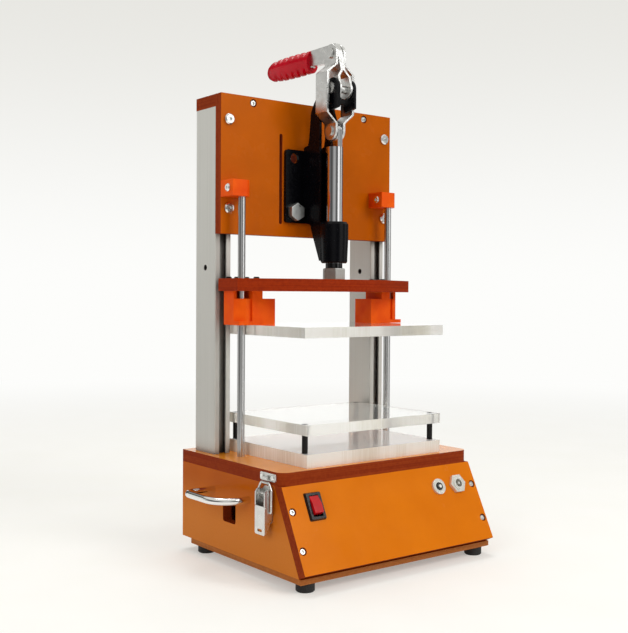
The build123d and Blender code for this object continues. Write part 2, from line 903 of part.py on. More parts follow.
knuckle_gap = 0.2
knuckle_length = hinge_width / 3
lid_leaf_from = hinge_z + hinge_knuckle + 0.2
base_leaf_from = hinge_z - hinge_knuckle - 0.2
lid_knuckles = [(-knuckle_length / 2 + knuckle_gap, knuckle_length - 2 * knuckle_gap)]
base_knuckles = [(-hinge_width / 2, knuckle_length), (knuckle_length / 2, knuckle_length)]
save(hinge_leaves(lid_leaf_from, hinge_z + hinge_leaf, lid_knuckles), "hinge_lid_leaves")
save(hinge_leaves(base_leaf_from, hinge_z - hinge_leaf - 6, base_knuckles), "hinge_base_leaves")

# Pins of the two hinges and the two latches
with BuildPart() as pivot_pins:
    for side in (-1, 1):
        with BuildSketch(Plane.YZ.offset(side * hinge_x - hinge_width / 2)):
            with Locations((hinge_y, hinge_z)):
                Circle(hinge_pin)
        extrude(amount=hinge_width)
        with BuildSketch(Plane.XZ.offset(-(latch_y + flange_outer + 0.4))):
            with Locations((side * latch_pivot_x, latch_pivot_z)):
                Circle(latch_pin)
        extrude(amount=2 * flange_outer + 0.8)
save(pivot_pins.part, "pivot_pins")

# Columns: slotted bars with a slot front and rear, two bores for the screws and a hole through the sides


def column(side):
    """One slotted column, standing on the deck."""
    x = side * column_x
    half = column_depth / 2
    with BuildPart() as bar:
        with BuildSketch(Plane.XY.offset(deck_height)):
            with Locations((x, column_y)):
                RectangleRounded(column_width, column_depth, 1.0)
            mouth = half - column_slot_lip / 2
            with Locations((x, column_y - mouth), (x, column_y + mouth)):
                Rectangle(column_slot, column_slot_lip + 0.01, mode=Mode.SUBTRACT)
            inner = (column_slot_lip + column_slot_floor) / 2
            with Locations((x, column_y - half + inner), (x, column_y + half - inner)):
                Rectangle(column_slot_inner, column_slot_floor - column_slot_lip, mode=Mode.SUBTRACT)
            with Locations(*[(x, y) for y in column_bores]):
                Circle(column_bore, mode=Mode.SUBTRACT)
        extrude(amount=column_length)
        with BuildSketch(Plane.YZ.offset(x - column_width / 2)):
            with Locations((column_y, deck_height + column_hole_rise)):
                Circle(column_hole_radius)
        extrude(amount=column_width, mode=Mode.SUBTRACT)
    return bar.part


with BuildPart() as columns:
    add(column(-1))
    add(column(1))
save(columns.part, "columns")

# Cap across the columns' tops, with screws down into the columns and back through the head plate's edge
cap_screw = round_screw(cap_screw_radius, cap_thickness + cap_screw_bite, cap_screw_head, 2.2, 1.5)
cap_top_places = [facing(x, y, cap_top, (0, 0, 1)) for x, y in column_screw_spots]
cap_front_places = [
    facing(side * cap_screw_x, head_front, column_top + cap_thickness / 2, (0, -1, 0)) for side in (-1, 1)
]
cap_front_hole = sunk_hole(
    cap_screw_radius, recess_depth + cap_thickness + cap_screw_bite, cap_screw_head + gap, recess_depth
)
with BuildPart() as top_cap:
    with BuildSketch(Plane.XY.offset(column_top)):
        with Locations((0, column_y)):
            Rectangle(2 * cap_half, column_depth)
        with Locations(*column_screw_spots):
            Circle(cap_screw_radius, mode=Mode.SUBTRACT)
    extrude(amount=cap_thickness)
    with Locations(*cap_front_places):
        add(cap_front_hole, mode=Mode.SUBTRACT)
save(top_cap.part, "top_cap")

with BuildPart() as cap_screws:
    with Locations(*cap_top_places):
        add(cap_screw)
    with Locations(*[place * Location((0, 0, -recess_depth)) for place in cap_front_places]):
        add(cap_screw)
save(cap_screws.part, "cap_screws")

# Head plate, screwed to the columns' front slots and to the cap's front edge
head_screw_zs = [head_bottom + head_screw_inset, cap_top - head_screw_inset]
head_screw_radius = 1.6
rod_clamp_screw_radius = 1.5
rod_clamp_mid = rod_clamp_bottom + rod_clamp_height / 2
rod_clamp_screw_x = -rod_clamp_side + 3.4
clamp_holes = [
    (side * flange_hole_x, clamp_z + flange_hole_low + rise)
    for side in (-1, 1)
    for rise in (0, flange_hole_pitch)
]
with BuildPart() as head_plate:
    with BuildSketch(Plane.XZ.offset(-head_front)):
        with Locations((0, head_bottom + head_height / 2)):
            Rectangle(2 * cap_half, head_height)
        with Locations(*[(side * column_x, z) for side in (-1, 1) for z in head_screw_zs]):
            Circle(head_screw_radius, mode=Mode.SUBTRACT)
        with Locations(*clamp_holes):
            Circle(bolt_radius, mode=Mode.SUBTRACT)
        with Locations(*[(x + rod_clamp_screw_x, rod_clamp_mid) for x in (-rod_x, rod_x)]):
            Circle(rod_clamp_screw_radius, mode=Mode.SUBTRACT)
        slot_z = head_bottom + head_slot_rise + head_slot_length / 2
        with Locations((-head_slot_x, slot_z), (head_slot_x, slot_z)):
            SlotOverall(head_slot_length, head_slot_width, rotation=90, mode=Mode.SUBTRACT)
    extrude(amount=-head_thickness)
    with Locations(*cap_front_places):
        add(cap_front_hole, mode=Mode.SUBTRACT)
save(head_plate.part, "head_plate")

slot_nut_thickness = column_slot_floor - column_slot_lip - 0.4
head_screw_length = head_thickness + column_slot_lip + slot_nut_thickness
head_screw = round_screw(head_screw_radius, head_screw_length, 4.5, 2.6, 1.6)
head_screw_spots = [(side * column_x, z) for side in (-1, 1) for z in head_screw_zs]
head_screw_places = [facing(x, head_front, z, (0, -1, 0)) for x, z in head_screw_spots]
with BuildPart() as head_screws:
    with Locations(*head_screw_places):
        add(head_screw)
save(head_screws.part, "head_screws")

with BuildPart() as slot_nuts:
    with BuildSketch(Plane.XZ.offset(-(column_front + column_slot_lip))):
        with Locations(*[(side * column_x, z) for side in (-1, 1) for z in head_screw_zs]):
            Rectangle(column_slot_inner - 0.4, 10)
            Circle(head_screw_radius, mode=Mode.SUBTRACT)
    extrude(amount=-slot_nut_thickness)
save(slot_nuts.part, "slot_nuts")


def rod_clamp(x):
    """A printed block on the head plate that holds one rod's top, with a screw from its left side."""
    eye = rod_radius + rod_clamp_wall
    with BuildPart() as block:
        with BuildSketch(Plane.XY.offset(rod_clamp_bottom)):
            with BuildLine():
                Polyline(
                    (x + eye, head_front),
                    (x - rod_clamp_side, head_front),
                    (x - rod_clamp_side, rod_y - eye),
                    (x, rod_y - eye),
                )
                RadiusArc((x, rod_y - eye), (x + eye, rod_y), -eye)
                Line((x + eye, rod_y), (x + eye, head_front))
            make_face()
            with Locations((x, rod_y)):
                Circle(rod_radius, mode=Mode.SUBTRACT)
        extrude(amount=rod_clamp_height)
        with BuildSketch(Plane.YZ.offset(x - rod_clamp_side)):
            with Locations((rod_y, rod_clamp_mid)):
                Circle(rod_clamp_screw_radius)
        extrude(amount=rod_clamp_side - rod_radius + 1, mode=Mode.SUBTRACT)
        with BuildSketch(Plane.XZ.offset(-head_front)):
            with Locations((x + rod_clamp_screw_x, rod_clamp_mid)):
                Circle(rod_clamp_screw_radius)
        extrude(amount=6, mode=Mode.SUBTRACT)
    return block.part


with BuildPart() as rod_clamps:
    add(rod_clamp(-rod_x))
    add(rod_clamp(rod_x))
save(rod_clamps.part, "rod_clamps")

rod_clamp_screw = round_screw(rod_clamp_screw_radius, rod_clamp_side - rod_radius - 0.2, 3.2, 2.0, 1.3)
with BuildPart() as rod_clamp_screws:
    with Locations(*[facing(x - rod_clamp_side, rod_y, rod_clamp_mid, (-1, 0, 0)) for x in (-rod_x, rod_x)]):
        add(rod_clamp_screw)
save(rod_clamp_screws.part, "rod_clamp_screws")

with BuildPart() as guide_rods:
    with BuildSketch(Plane.XY.offset(deck_height - rod_seat)):
        with Locations(*rod_spots):
            Circle(rod_radius)
    extrude(amount=rod_top - deck_height + rod_seat)
    chamfer(guide_rods.edges().group_by(Axis.Z)[-1], 0.5)
save(guide_rods.part, "guide_rods")

# Toggle clamp body: a flange on the head plate, two cheeks with ears for the lever's pin,
# a bar that stops the open lever, and the barrel that guides the plunger
cheek_rear = flange_front
cheek_front = plunger_y + link_width / 2 + 0.6
stop_y = pivot_y + 20.5
stop_z = pivot_z - 11.0
with BuildPart() as clamp_body:
    with BuildSketch(head_plane):
        with Locations((0, clamp_z + flange_height / 2)):
            RectangleRounded(flange_width, flange_height, 2.5)
        with Locations(*clamp_holes):
            Circle(flange_hole_radius, mode=Mode.SUBTRACT)
    extrude(amount=flange_thickness)
    for side in (-1, 1):
        with BuildSketch(Plane.YZ.offset(side * cheek_gap)):
            with BuildLine():
                Polyline(
                    (pivot_y, pivot_z + ear_radius),
                    (pivot_y + 10, pivot_z + ear_radius - 2.5),
                    (pivot_y + 23.5, pivot_z - 9.3),
                    (pivot_y + 27.4, pivot_z - 15.7),
                    (pivot_y + 29.8, pivot_z - 37),
                    (pivot_y + 31, pivot_z - 43),
                    (cheek_rear, pivot_z - 44.5),
                    (cheek_rear, clamp_z + 1),
                    (cheek_rear - 9, clamp_z - 1.5),
                    (cheek_rear - 13, clamp_z - 12),
                    (plunger_y + 8, barrel_bottom + 2),
                    (plunger_y, barrel_bottom + 2),
                    (plunger_y, clamp_z - 1),
                    (cheek_front, clamp_z - 1),
                    (cheek_front, pivot_z - 23.5),
                    (cheek_front + 2.5, pivot_z - 17.5),
                    (cheek_front + 4.5, pivot_z - 11.5),
                    (cheek_front + 1, pivot_z - 10),
                    (pivot_y + 5, pivot_z - 10),
                    (pivot_y + 4, pivot_z - 18),
                    (pivot_y - ear_radius, pivot_z - 16),
                    (pivot_y - ear_radius, pivot_z),
                )
                RadiusArc((pivot_y - ear_radius, pivot_z), (pivot_y, pivot_z + ear_radius), ear_radius)
            make_face()
            with Locations((pivot_y, pivot_z)):
                Circle(pivot_radius, mode=Mode.SUBTRACT)
        extrude(amount=side * cheek_sheet)
    with BuildSketch(Plane.YZ.offset(-cheek_gap)):
        with Locations((stop_y, stop_z)):
            Rectangle(3.5, 6)
    extrude(amount=2 * cheek_gap)
    with BuildSketch(Plane.XZ.offset(-plunger_y)):
        with BuildLine():
            Polyline(
                (0, barrel_bottom),
                (barrel_radius - barrel_taper - 1, barrel_bottom),
                (barrel_radius - barrel_taper, barrel_bottom + 1),
                (barrel_radius, clamp_z - 12),
                (barrel_radius, clamp_z - 2),
                (barrel_radius - 1.5, clamp_z),
                (0, clamp_z),
                close=True,
            )
        make_face()
    revolve(axis=Axis((0, plunger_y, 0), (0, 0, 1)))
    with BuildSketch(Plane.XY.offset(barrel_bottom)):
        with Locations((0, plunger_y)):
            Circle(plunger_radius + slide)
    extrude(amount=clamp_z - barrel_bottom + 0.01, mode=Mode.SUBTRACT)
save(clamp_body.part, "clamp_body")

with BuildPart() as clamp_pivot_pin:
    with BuildSketch(Plane.YZ.offset(-cheek_outer)):
        with Locations((pivot_y, pivot_z)):
            Circle(pivot_radius)
    extrude(amount=2 * cheek_outer)
    for side in (-1, 1):
        with BuildSketch(Plane.YZ.offset(side * cheek_outer)):
            with Locations((pivot_y, pivot_z)):
                Circle(pivot_radius + 1.6)
        extrude(amount=side * 1.7)
save(clamp_pivot_pin.part, "clamp_pivot_pin")

# Hexagon bolts through the flange and the head plate, with nuts behind. One hole is left empty.
bolt_spots = [clamp_holes[0], clamp_holes[2], clamp_holes[3]]
bolt_top = hex_piece(bolt_width, bolt_head)
bolt_nut = hex_piece(bolt_width, bolt_nut_height, bolt_radius)
with BuildPart() as clamp_bolts:
    for x, z in bolt_spots:
        with Locations(facing(x, flange_front, z, (0, -1, 0))):
            add(bolt_top)
        with BuildSketch(Plane.XZ.offset(-flange_front)):
            with Locations((x, z)):
                Circle(bolt_radius)
        extrude(amount=-(flange_thickness + head_thickness + bolt_tail))
clamp_nuts = [facing(x, column_front, z, (0, 1, 0)) * bolt_nut for x, z in bolt_spots]
save(Compound(clamp_bolts.part.solids() + [nut.solid() for nut in clamp_nuts]), "clamp_bolts")

# Lower stack of clear plates on the deck: the probe plate, four standoffs and the carrier plate
with BuildPart() as probe_plate:
    with BuildSketch(Plane.XY.offset(deck_height)):
        with Locations((0, (plate_front + plate_rear) / 2)):
            Rectangle(plate_width, plate_rear - plate_front)
        with Locations(*standoff_spots):
            Circle(plate_screw_radius, mode=Mode.SUBTRACT)
    extrude(amount=probe_thickness)
save(probe_plate.part, "probe_plate")

with BuildPart() as plate_standoffs:
    with BuildSketch(Plane.XY.offset(probe_top)):
        with Locations(*standoff_spots):
            Circle(standoff_radius)
            Circle(plate_screw_radius, mode=Mode.SUBTRACT)
    extrude(amount=standoff_height)
save(plate_standoffs.part, "plate_standoffs")

with BuildPart() as carrier_plate:
    with BuildSketch(Plane.XY.offset(carrier_bottom)):
        with Locations((0, (plate_front + plate_rear) / 2)):
            Rectangle(plate_width, plate_rear - plate_front)
    extrude(amount=acrylic)
    with Locations(*[facing(x, y, carrier_top, (0, 0, 1)) for x, y in standoff_spots]):
        add(flush_hole(plate_screw_radius, acrylic, plate_screw_head), mode=Mode.SUBTRACT)
save(carrier_plate.part, "carrier_plate")

carrier_screw = flush_screw(plate_screw_radius, acrylic + standoff_height / 2 - 0.5, plate_screw_head)
with BuildPart() as carrier_screws:
    with Locations(*[facing(x, y, carrier_top, (0, 0, 1)) for x, y in standoff_spots]):
        add(carrier_screw)
save(carrier_screws.part, "carrier_screws")

# Screws from under the deck: into the columns' feet and into the standoffs
standoff_bite = standoff_height / 2 - 0.5
standoff_screw_length = deck_thickness + probe_thickness + standoff_bite
standoff_screw = flush_screw(plate_screw_radius, standoff_screw_length, plate_screw_head)
column_foot_screw = flush_screw(deck_screw_radius, deck_thickness + 12, deck_screw_head)
with BuildPart() as deck_screws:
    with Locations(*[facing(x, y, box_top, (0, 0, -1)) for x, y in standoff_spots]):
        add(standoff_screw)
    with Locations(*[facing(x, y, box_top, (0, 0, -1)) for x, y in column_screw_spots]):
        add(column_foot_screw)
save(deck_screws.part, "deck_screws")

# Plunger: a round bar with a flat tang for the links, and a lock nut down on the platen
with BuildPart() as plunger:
    with BuildSketch(Plane.XY.offset(platen_top + nut_height)):
        with Locations((0, plunger_y)):
            Circle(plunger_radius)
    extrude(amount=tang_z - tang_length - platen_top - nut_height)
    with BuildSketch(Plane.XY.offset(platen_bottom)):
        with Locations((0, plunger_y)):
            Circle(plunger_stud)
    extrude(amount=platen_thickness + nut_height)
    with BuildSketch(Plane.YZ.offset(-tang_thickness / 2)):
        with Locations((plunger_y, tang_z)):
            Circle(plunger_radius)
        with Locations((plunger_y, tang_z - tang_length / 2)):
            Rectangle(2 * plunger_radius, tang_length)
        with Locations((plunger_y, tang_z)):
            Circle(rivet_radius, mode=Mode.SUBTRACT)
    extrude(amount=tang_thickness)
save(plunger.part, "plunger")

with BuildPart() as plunger_nut:
    with Locations(facing(0, plunger_y, platen_top, (0, 0, 1))):
        add(hex_piece(nut_width, nut_height, plunger_stud))
    chamfer(plunger_nut.edges().group_by(Axis.Z)[-1].filter_by(GeomType.LINE), 0.6)
save(plunger_nut.part, "plunger_nut")

# Platen: a bar centred on the rods, with a nose that reaches forward to the plunger
bracket_screw_steps = [
    (-bracket_inner + bracket_screw_inset, -bracket_front + bracket_screw_inset),
    (-bracket_inner + bracket_screw_inset, bracket_rear - bracket_screw_inset),
    (-bearing_radius / 3, bracket_rear - bracket_screw_inset + 0.6),
    (bracket_outer - 2.2, bracket_rear - bracket_screw_inset),
]
bracket_screw_spots = [
    (side * (rod_x + across), rod_y + along) for side in (-1, 1) for across, along in bracket_screw_steps
]
bracket_screw_radius = 1.3
with BuildPart() as press_platen:
    with BuildSketch(Plane.XY.offset(platen_bottom)):
        with BuildLine():
            Polyline(
                (-platen_width / 2, platen_rear),
                (-platen_width / 2, platen_front),
                (-nose_half_width, platen_front - nose_reach),
                (nose_half_width, platen_front - nose_reach),
                (platen_width / 2, platen_front),
                (platen_width / 2, platen_rear),
                close=True,
            )
        make_face()
        with Locations(*rod_spots):
            Circle(rod_radius + 1, mode=Mode.SUBTRACT)
        with Locations((0, plunger_y)):
            Circle(plunger_stud, mode=Mode.SUBTRACT)
        with Locations(*bracket_screw_spots):
            Circle(bracket_screw_radius, mode=Mode.SUBTRACT)
    extrude(amount=platen_thickness)
save(press_platen.part, "press_platen")


def guide_bracket(side):
    """A printed block under the platen that holds one linear bearing and carries the pressure plate."""
    x = side * rod_x
    along = rod_y + (bracket_rear - bracket_front) / 2
    depth = bracket_front + bracket_rear
    upper = [
        (bracket_outer, bracket_rear),
        (bracket_outer, -bracket_front + bracket_corner),
        (bracket_outer - bracket_corner, -bracket_front),
        (-bracket_inner, -bracket_front),
        (-bracket_inner, bracket_rear),
    ]
    groove_x = -bearing_radius / 2
    window_inner = groove_x - bracket_groove / 2
    window_mid = (bracket_outer + window_inner) / 2
    with BuildPart() as bracket:
        with BuildSketch(Plane.XY.offset(bracket_bottom)):
            with Locations((x + side * (bracket_outer - bracket_wing) / 2, along)):
                Rectangle(bracket_outer + bracket_wing, depth)
        extrude(amount=bracket_base)
        with BuildSketch(Plane.XY.offset(bracket_bottom)):
            with Locations((x - side * (bracket_inner + bracket_wing) / 2, along)):
                Rectangle(bracket_wing - bracket_inner, depth)
        extrude(amount=bracket_height - bracket_step)
        with BuildSketch(Plane.XY.offset(bracket_bottom)):
            with BuildLine():
                Polyline(*[(x + side * across, rod_y + back) for across, back in upper], close=True)
            make_face()
        extrude(amount=bracket_height)
        with BuildSketch(Plane.XY.offset(bracket_bottom + bracket_base)):
            with Locations((x + side * groove_x, rod_y - bracket_front)):
                Rectangle(bracket_groove, 2 * bracket_groove_depth)
        extrude(amount=bracket_height, mode=Mode.SUBTRACT)
        with BuildSketch(Plane.XY.offset(platen_bottom)):
            with Locations((x + side * window_mid, rod_y - bracket_front + bracket_corner / 2)):
                Rectangle(bracket_outer - window_inner, bracket_corner)
        extrude(amount=-bracket_step, mode=Mode.SUBTRACT)
        with BuildSketch(Plane.XY.offset(bracket_bottom)):
            with Locations((x, rod_y)):
                Circle(bearing_radius)
        extrude(amount=bracket_height, mode=Mode.SUBTRACT)
        with BuildSketch(Plane.XY.offset(platen_bottom)):
            with Locations(*[spot for spot in bracket_screw_spots if spot[0] * side > 0]):
                Circle(bracket_screw_radius)
        extrude(amount=-bracket_screw_bite, mode=Mode.SUBTRACT)
        with BuildSketch(Plane.XY.offset(bracket_bottom)):
            with Locations(*[spot for spot in pressure_spots if spot[0] * side > 0]):
                Circle(bracket_screw_radius)
        extrude(amount=pressure_screw_bite, mode=Mode.SUBTRACT)
    return bracket.part


pressure_spots = [
    (side * (rod_x - step), rod_y + along)
    for side in (-1, 1)
    for step, along in ((bracket_wing - 4, 0), (bracket_wing / 2, bracket_rear - 4))
]
save(guide_bracket(-1), "guide_bracket_left")
save(guide_bracket(1), "guide_bracket_right")

with BuildPart() as linear_bearings:
    with BuildSketch(Plane.XY.offset(bracket_bottom + 1)):
        with Locations(*rod_spots):
            Circle(bearing_radius)
            Circle(rod_radius + slide, mode=Mode.SUBTRACT)
    extrude(amount=bearing_length)
save(linear_bearings.part, "linear_bearings")

bracket_screw = round_screw(bracket_screw_radius, platen_thickness + bracket_screw_bite, 2.4, 1.5)
with BuildPart() as bracket_screws:
    with Locations(*[facing(x, y, platen_top, (0, 0, 1)) for x, y in bracket_screw_spots]):
        add(bracket_screw)
save(bracket_screws.part, "bracket_screws")

# Clear pressure plate under the brackets, screwed up into them
with BuildPart() as pressure_plate:
    with BuildSketch(Plane.XY.offset(pressure_bottom)):
        with Locations((0, (plate_front + plate_rear) / 2)):
            Rectangle(pressure_width, plate_rear - plate_front)
    extrude(amount=acrylic)
    with Locations(*[facing(x, y, pressure_bottom, (0, 0, -1)) for x, y in pressure_spots]):
        add(flush_hole(bracket_screw_radius, acrylic, 2.4), mode=Mode.SUBTRACT)
save(pressure_plate.part, "pressure_plate")

pressure_screw = flush_screw(bracket_screw_radius, acrylic + pressure_screw_bite, 2.4)
with BuildPart() as pressure_screws:
    with Locations(*[facing(x, y, pressure_bottom, (0, 0, -1)) for x, y in pressure_spots]):
        add(pressure_screw)
save(pressure_screws.part, "pressure_screws")


# Lever: two stamped plates, closed on each other along the arm and forked round the pin
fork_top = crank_z - 14.5
fork_foot = fork_top - 6.0
arm_top = crank_z + lever_rise
arm_end = overall_depth / 2 - grip_tip
grip_root = crank_y + grip_start
grip_mid_z = arm_top - grip_drop


def lever_plate(side):
    """One plate of the lever: its bent section cut to the lever's outline."""
    above = arm_top + 1
    below = pivot_z - 2 * lever_eye
    section = [
        (0, above),
        (0, fork_top),
        (side * lever_fork, fork_foot),
        (side * lever_fork, below),
        (side * (lever_fork + lever_sheet), below),
        (side * (lever_fork + lever_sheet), fork_foot),
        (side * lever_sheet, fork_top),
        (side * lever_sheet, above),
    ]
    reach = 2 * (lever_fork + lever_sheet)
    with BuildPart() as plate:
        with BuildSketch(Plane.XZ.offset(-arm_end)):
            with BuildLine():
                Polyline(*section, close=True)
            make_face()
        extrude(amount=arm_end - pivot_y + 2 * lever_eye)
        with BuildSketch(Plane.YZ.offset(-reach)):
            with BuildLine():
                Polyline(
                    (pivot_y - lever_eye, pivot_z),
                    (crank_y - lever_height / 2, crank_z),
                    (crank_y - 3, arm_top),
                    (grip_root - 1, arm_top),
                    (grip_root - 1, grip_mid_z + lever_tang / 2),
                    (arm_end, grip_mid_z + lever_tang / 2),
                    (arm_end, grip_mid_z - lever_tang / 2),
                    (grip_root - 1, grip_mid_z - lever_tang / 2),
                    (grip_root - 1, arm_top - lever_height),
                    (crank_y + 9, crank_z - lever_height / 2),
                    (pivot_y + 8, pivot_z + 6),
                    (pivot_y + lever_eye, pivot_z),
                    close=True,
                )
            make_face()
            with Locations((pivot_y, pivot_z)):
                Circle(lever_eye)
            with Locations((crank_y, crank_z)):
                Circle(lever_height / 2)
        extrude(amount=2 * reach, mode=Mode.INTERSECT)
        with BuildSketch(Plane.YZ.offset(-reach)):
            with Locations((pivot_y, pivot_z), (crank_y, crank_z)):
                Circle(pivot_radius + slide)
        extrude(amount=2 * reach, mode=Mode.SUBTRACT)
    return plate.part


save(lever_plate(-1), "lever_plate_left")
save(lever_plate(1), "lever_plate_right")

# Grip: an oval moulded sleeve on the lever's arm, with a round tip and a row of grooves above and below
grip_end = overall_depth / 2
grip_length = grip_end - grip_root
grip_rings = [(0, 0.95), (grip_length * 0.3, 1.0), (grip_length * 0.62, 0.98), (grip_length - 9, 0.86)]
grip_rings += [(grip_length - 2.5, 0.58), (grip_length, 0.22)]
groove_pitch = (grip_length - 22) / (grip_grooves - 1)
with BuildPart() as lever_grip:
    for along, share in grip_rings:
        ring_z = grip_mid_z + grip_rise * along / grip_length
        with BuildSketch(Plane(origin=(0, grip_root + along, ring_z), x_dir=(1, 0, 0), z_dir=(0, 1, 0))):
            Ellipse(grip_thickness / 2 * share, grip_height / 2 * share)
    loft()
    with BuildSketch(Plane.YZ.offset(-grip_thickness)):
        for index in range(grip_grooves):
            along = 8 + index * groove_pitch
            rise = grip_mid_z + grip_rise * along / grip_length
            edge = grip_height / 2 + grip_groove / 2
            with Locations((grip_root + along, rise + edge), (grip_root + along + 2, rise - edge)):
                Circle(grip_groove)
    extrude(amount=2 * grip_thickness, mode=Mode.SUBTRACT)
    with BuildSketch(Plane.XZ.offset(-grip_root)):
        with Locations((0, grip_mid_z)):
            Rectangle(2 * lever_sheet, lever_tang)
    extrude(amount=-(arm_end - grip_root), mode=Mode.SUBTRACT)
save(lever_grip.part, "lever_grip")

# Links from the lever's crank to the plunger's tang. Each one bulges out to pass the ears.


def toggle_link(side):
    """One link plate: its bent section cut to a bar with round ends."""
    inner = [
        (link_gap, tang_z - 10),
        (link_gap, tang_z + 6),
        (link_bulge, tang_z + 14),
        (link_bulge, crank_z - 17),
        (link_gap, crank_z - 9.5),
        (link_gap, crank_z + 10),
    ]
    outer = [(x + link_sheet, z) for x, z in reversed(inner)]
    reach = 2 * link_bulge
    with BuildPart() as link:
        with BuildSketch(Plane.XZ.offset(-(crank_y + link_width))):
            with BuildLine():
                Polyline(*[(side * x, z) for x, z in inner + outer], close=True)
            make_face()
        extrude(amount=2 * link_width)
        with BuildSketch(Plane.YZ.offset(-reach)):
            with Locations((crank_y, (crank_z + tang_z) / 2)):
                SlotOverall(link_length + link_width, link_width, rotation=90)
        extrude(amount=2 * reach, mode=Mode.INTERSECT)
        with BuildSketch(Plane.YZ.offset(-reach)):
            with Locations((crank_y, crank_z)):
                Circle(rivet_radius + slide)
            with Locations((crank_y, tang_z)):
                Circle(rivet_radius)
        extrude(amount=2 * reach, mode=Mode.SUBTRACT)
    return link.part


save(toggle_link(-1), "toggle_link_left")
save(toggle_link(1), "toggle_link_right")

# Rivets: one through the lever and both links, and a stub in the foot of each link
link_outer = link_gap + link_sheet
with BuildPart() as link_rivets:
    with BuildSketch(Plane.YZ.offset(-(link_outer + 0.2))):
        with Locations((crank_y, crank_z)):
            Circle(rivet_radius)
    extrude(amount=2 * (link_outer + 0.2))
    for side in (-1, 1):
        with BuildSketch(Plane.YZ.offset(side * (link_outer + 0.2))):
            with Locations((crank_y, crank_z)):
                Circle(rivet_radius + 1.3)
        extrude(amount=side * rivet_head)
    for side in (-1, 1):
        with BuildSketch(Plane.YZ.offset(side * link_gap)):
            with Locations((crank_y, tang_z)):
                Circle(rivet_radius)
        extrude(amount=side * link_sheet)
        with BuildSketch(Plane.YZ.offset(side * link_outer)):
            with Locations((crank_y, tang_z)):
                Circle(rivet_radius + 1.3)
        extrude(amount=side * rivet_head)
save(link_rivets.part, "link_rivets")
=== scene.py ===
"""Looks for a hand-press fixture that tests circuit boards: finishes, light, floor and camera.

Lengths are in metres, in the CAD model's frame, and the scales of noise and lines are repeats per metre.
"""

import json
from math import cos, exp, pi, radians, sin

import bmesh
import bpy
from mathutils import Matrix, Vector


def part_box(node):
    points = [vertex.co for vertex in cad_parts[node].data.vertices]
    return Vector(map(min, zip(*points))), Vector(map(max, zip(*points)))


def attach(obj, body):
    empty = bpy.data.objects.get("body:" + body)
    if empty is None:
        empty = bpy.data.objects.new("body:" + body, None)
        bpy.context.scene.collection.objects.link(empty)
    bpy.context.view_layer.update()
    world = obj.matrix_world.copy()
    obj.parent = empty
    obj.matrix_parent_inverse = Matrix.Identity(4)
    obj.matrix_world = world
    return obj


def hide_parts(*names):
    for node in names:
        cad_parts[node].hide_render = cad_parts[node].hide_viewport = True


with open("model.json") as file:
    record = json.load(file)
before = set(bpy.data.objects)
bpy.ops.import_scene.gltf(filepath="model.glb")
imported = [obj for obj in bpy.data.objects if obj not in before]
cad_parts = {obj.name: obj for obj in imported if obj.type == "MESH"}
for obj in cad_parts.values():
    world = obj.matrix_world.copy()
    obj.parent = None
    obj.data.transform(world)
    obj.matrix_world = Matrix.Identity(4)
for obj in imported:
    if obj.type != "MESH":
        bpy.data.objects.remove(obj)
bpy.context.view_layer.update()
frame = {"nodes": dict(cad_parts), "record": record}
nodes = frame["nodes"]
node_body = {node: body for body, held in frame["record"]["behaviour"]["bodies"].items() for node in held}

across, along, upright = (1, 0, 0), (0, 1, 0), (0, 0, 1)
front_tilt = radians(26.4)
slope_axis = (0.0, -cos(front_tilt), sin(front_tilt))

# The camera's turn about the upright axis sets the directions that the studio's light comes from
camera_turn, camera_tip, camera_roll = radians(-37.597), radians(1.286), radians(0.354)
camera_place = (-0.5137, -0.64279, 0.21281)
picture_height, focal_length = 633, 1030.5  # the photo's, in its pixels
picture_scale = 0.962  # makes room for the whole height, which the photo shows squashed
ahead = (-sin(camera_turn), cos(camera_turn), 0.0)
rightward = (cos(camera_turn), sin(camera_turn), 0.0)

# What mirrors see of the studio: each wall level stands at its angle round the object, in degrees, where 0 is
# the camera's side, minus is the left and 180 is the backdrop
wall_levels = [
    (-180, 1.0), (-166, 1.0), (-158, 0.08), (-132, 0.08), (-122, 1.0), (-100, 0.7), (-75, 0.22), (-35, 0.06),
    (-8, 0.48), (8, 0.48), (24, 0.1), (44, 0.14), (48, 1.25), (72, 1.25), (76, 0.28), (92, 0.28), (98, 0.8),
    (112, 0.8), (118, 0.12), (150, 0.12), (158, 0.4), (168, 1.0), (180, 1.0),
]
wall_gain, ceiling_level = 1.15, 0.95
flag_level = 0.1  # what a dark flag in front of the walls leaves of their light
room_light = 0.45  # what the studio adds to the lamps
paper_lift = 0.36  # how much brighter the floor's paper is seen than lit
light_through = 0.85  # the share of the lamps' light that the clear sheets let pass


def srgb(red, green, blue):
    """A colour as a picture shows it, from 0 to 255, in the linear values that shaders use."""
    linear = []
    for value in (red, green, blue):
        part = value / 255
        linear.append(part / 12.92 if part <= 0.04045 else ((part + 0.055) / 1.055) ** 2.4)
    return (*linear, 1.0)


def placed(name, data):
    """A new object in the scene."""
    thing = bpy.data.objects.new(name, data)
    bpy.context.scene.collection.objects.link(thing)
    return thing


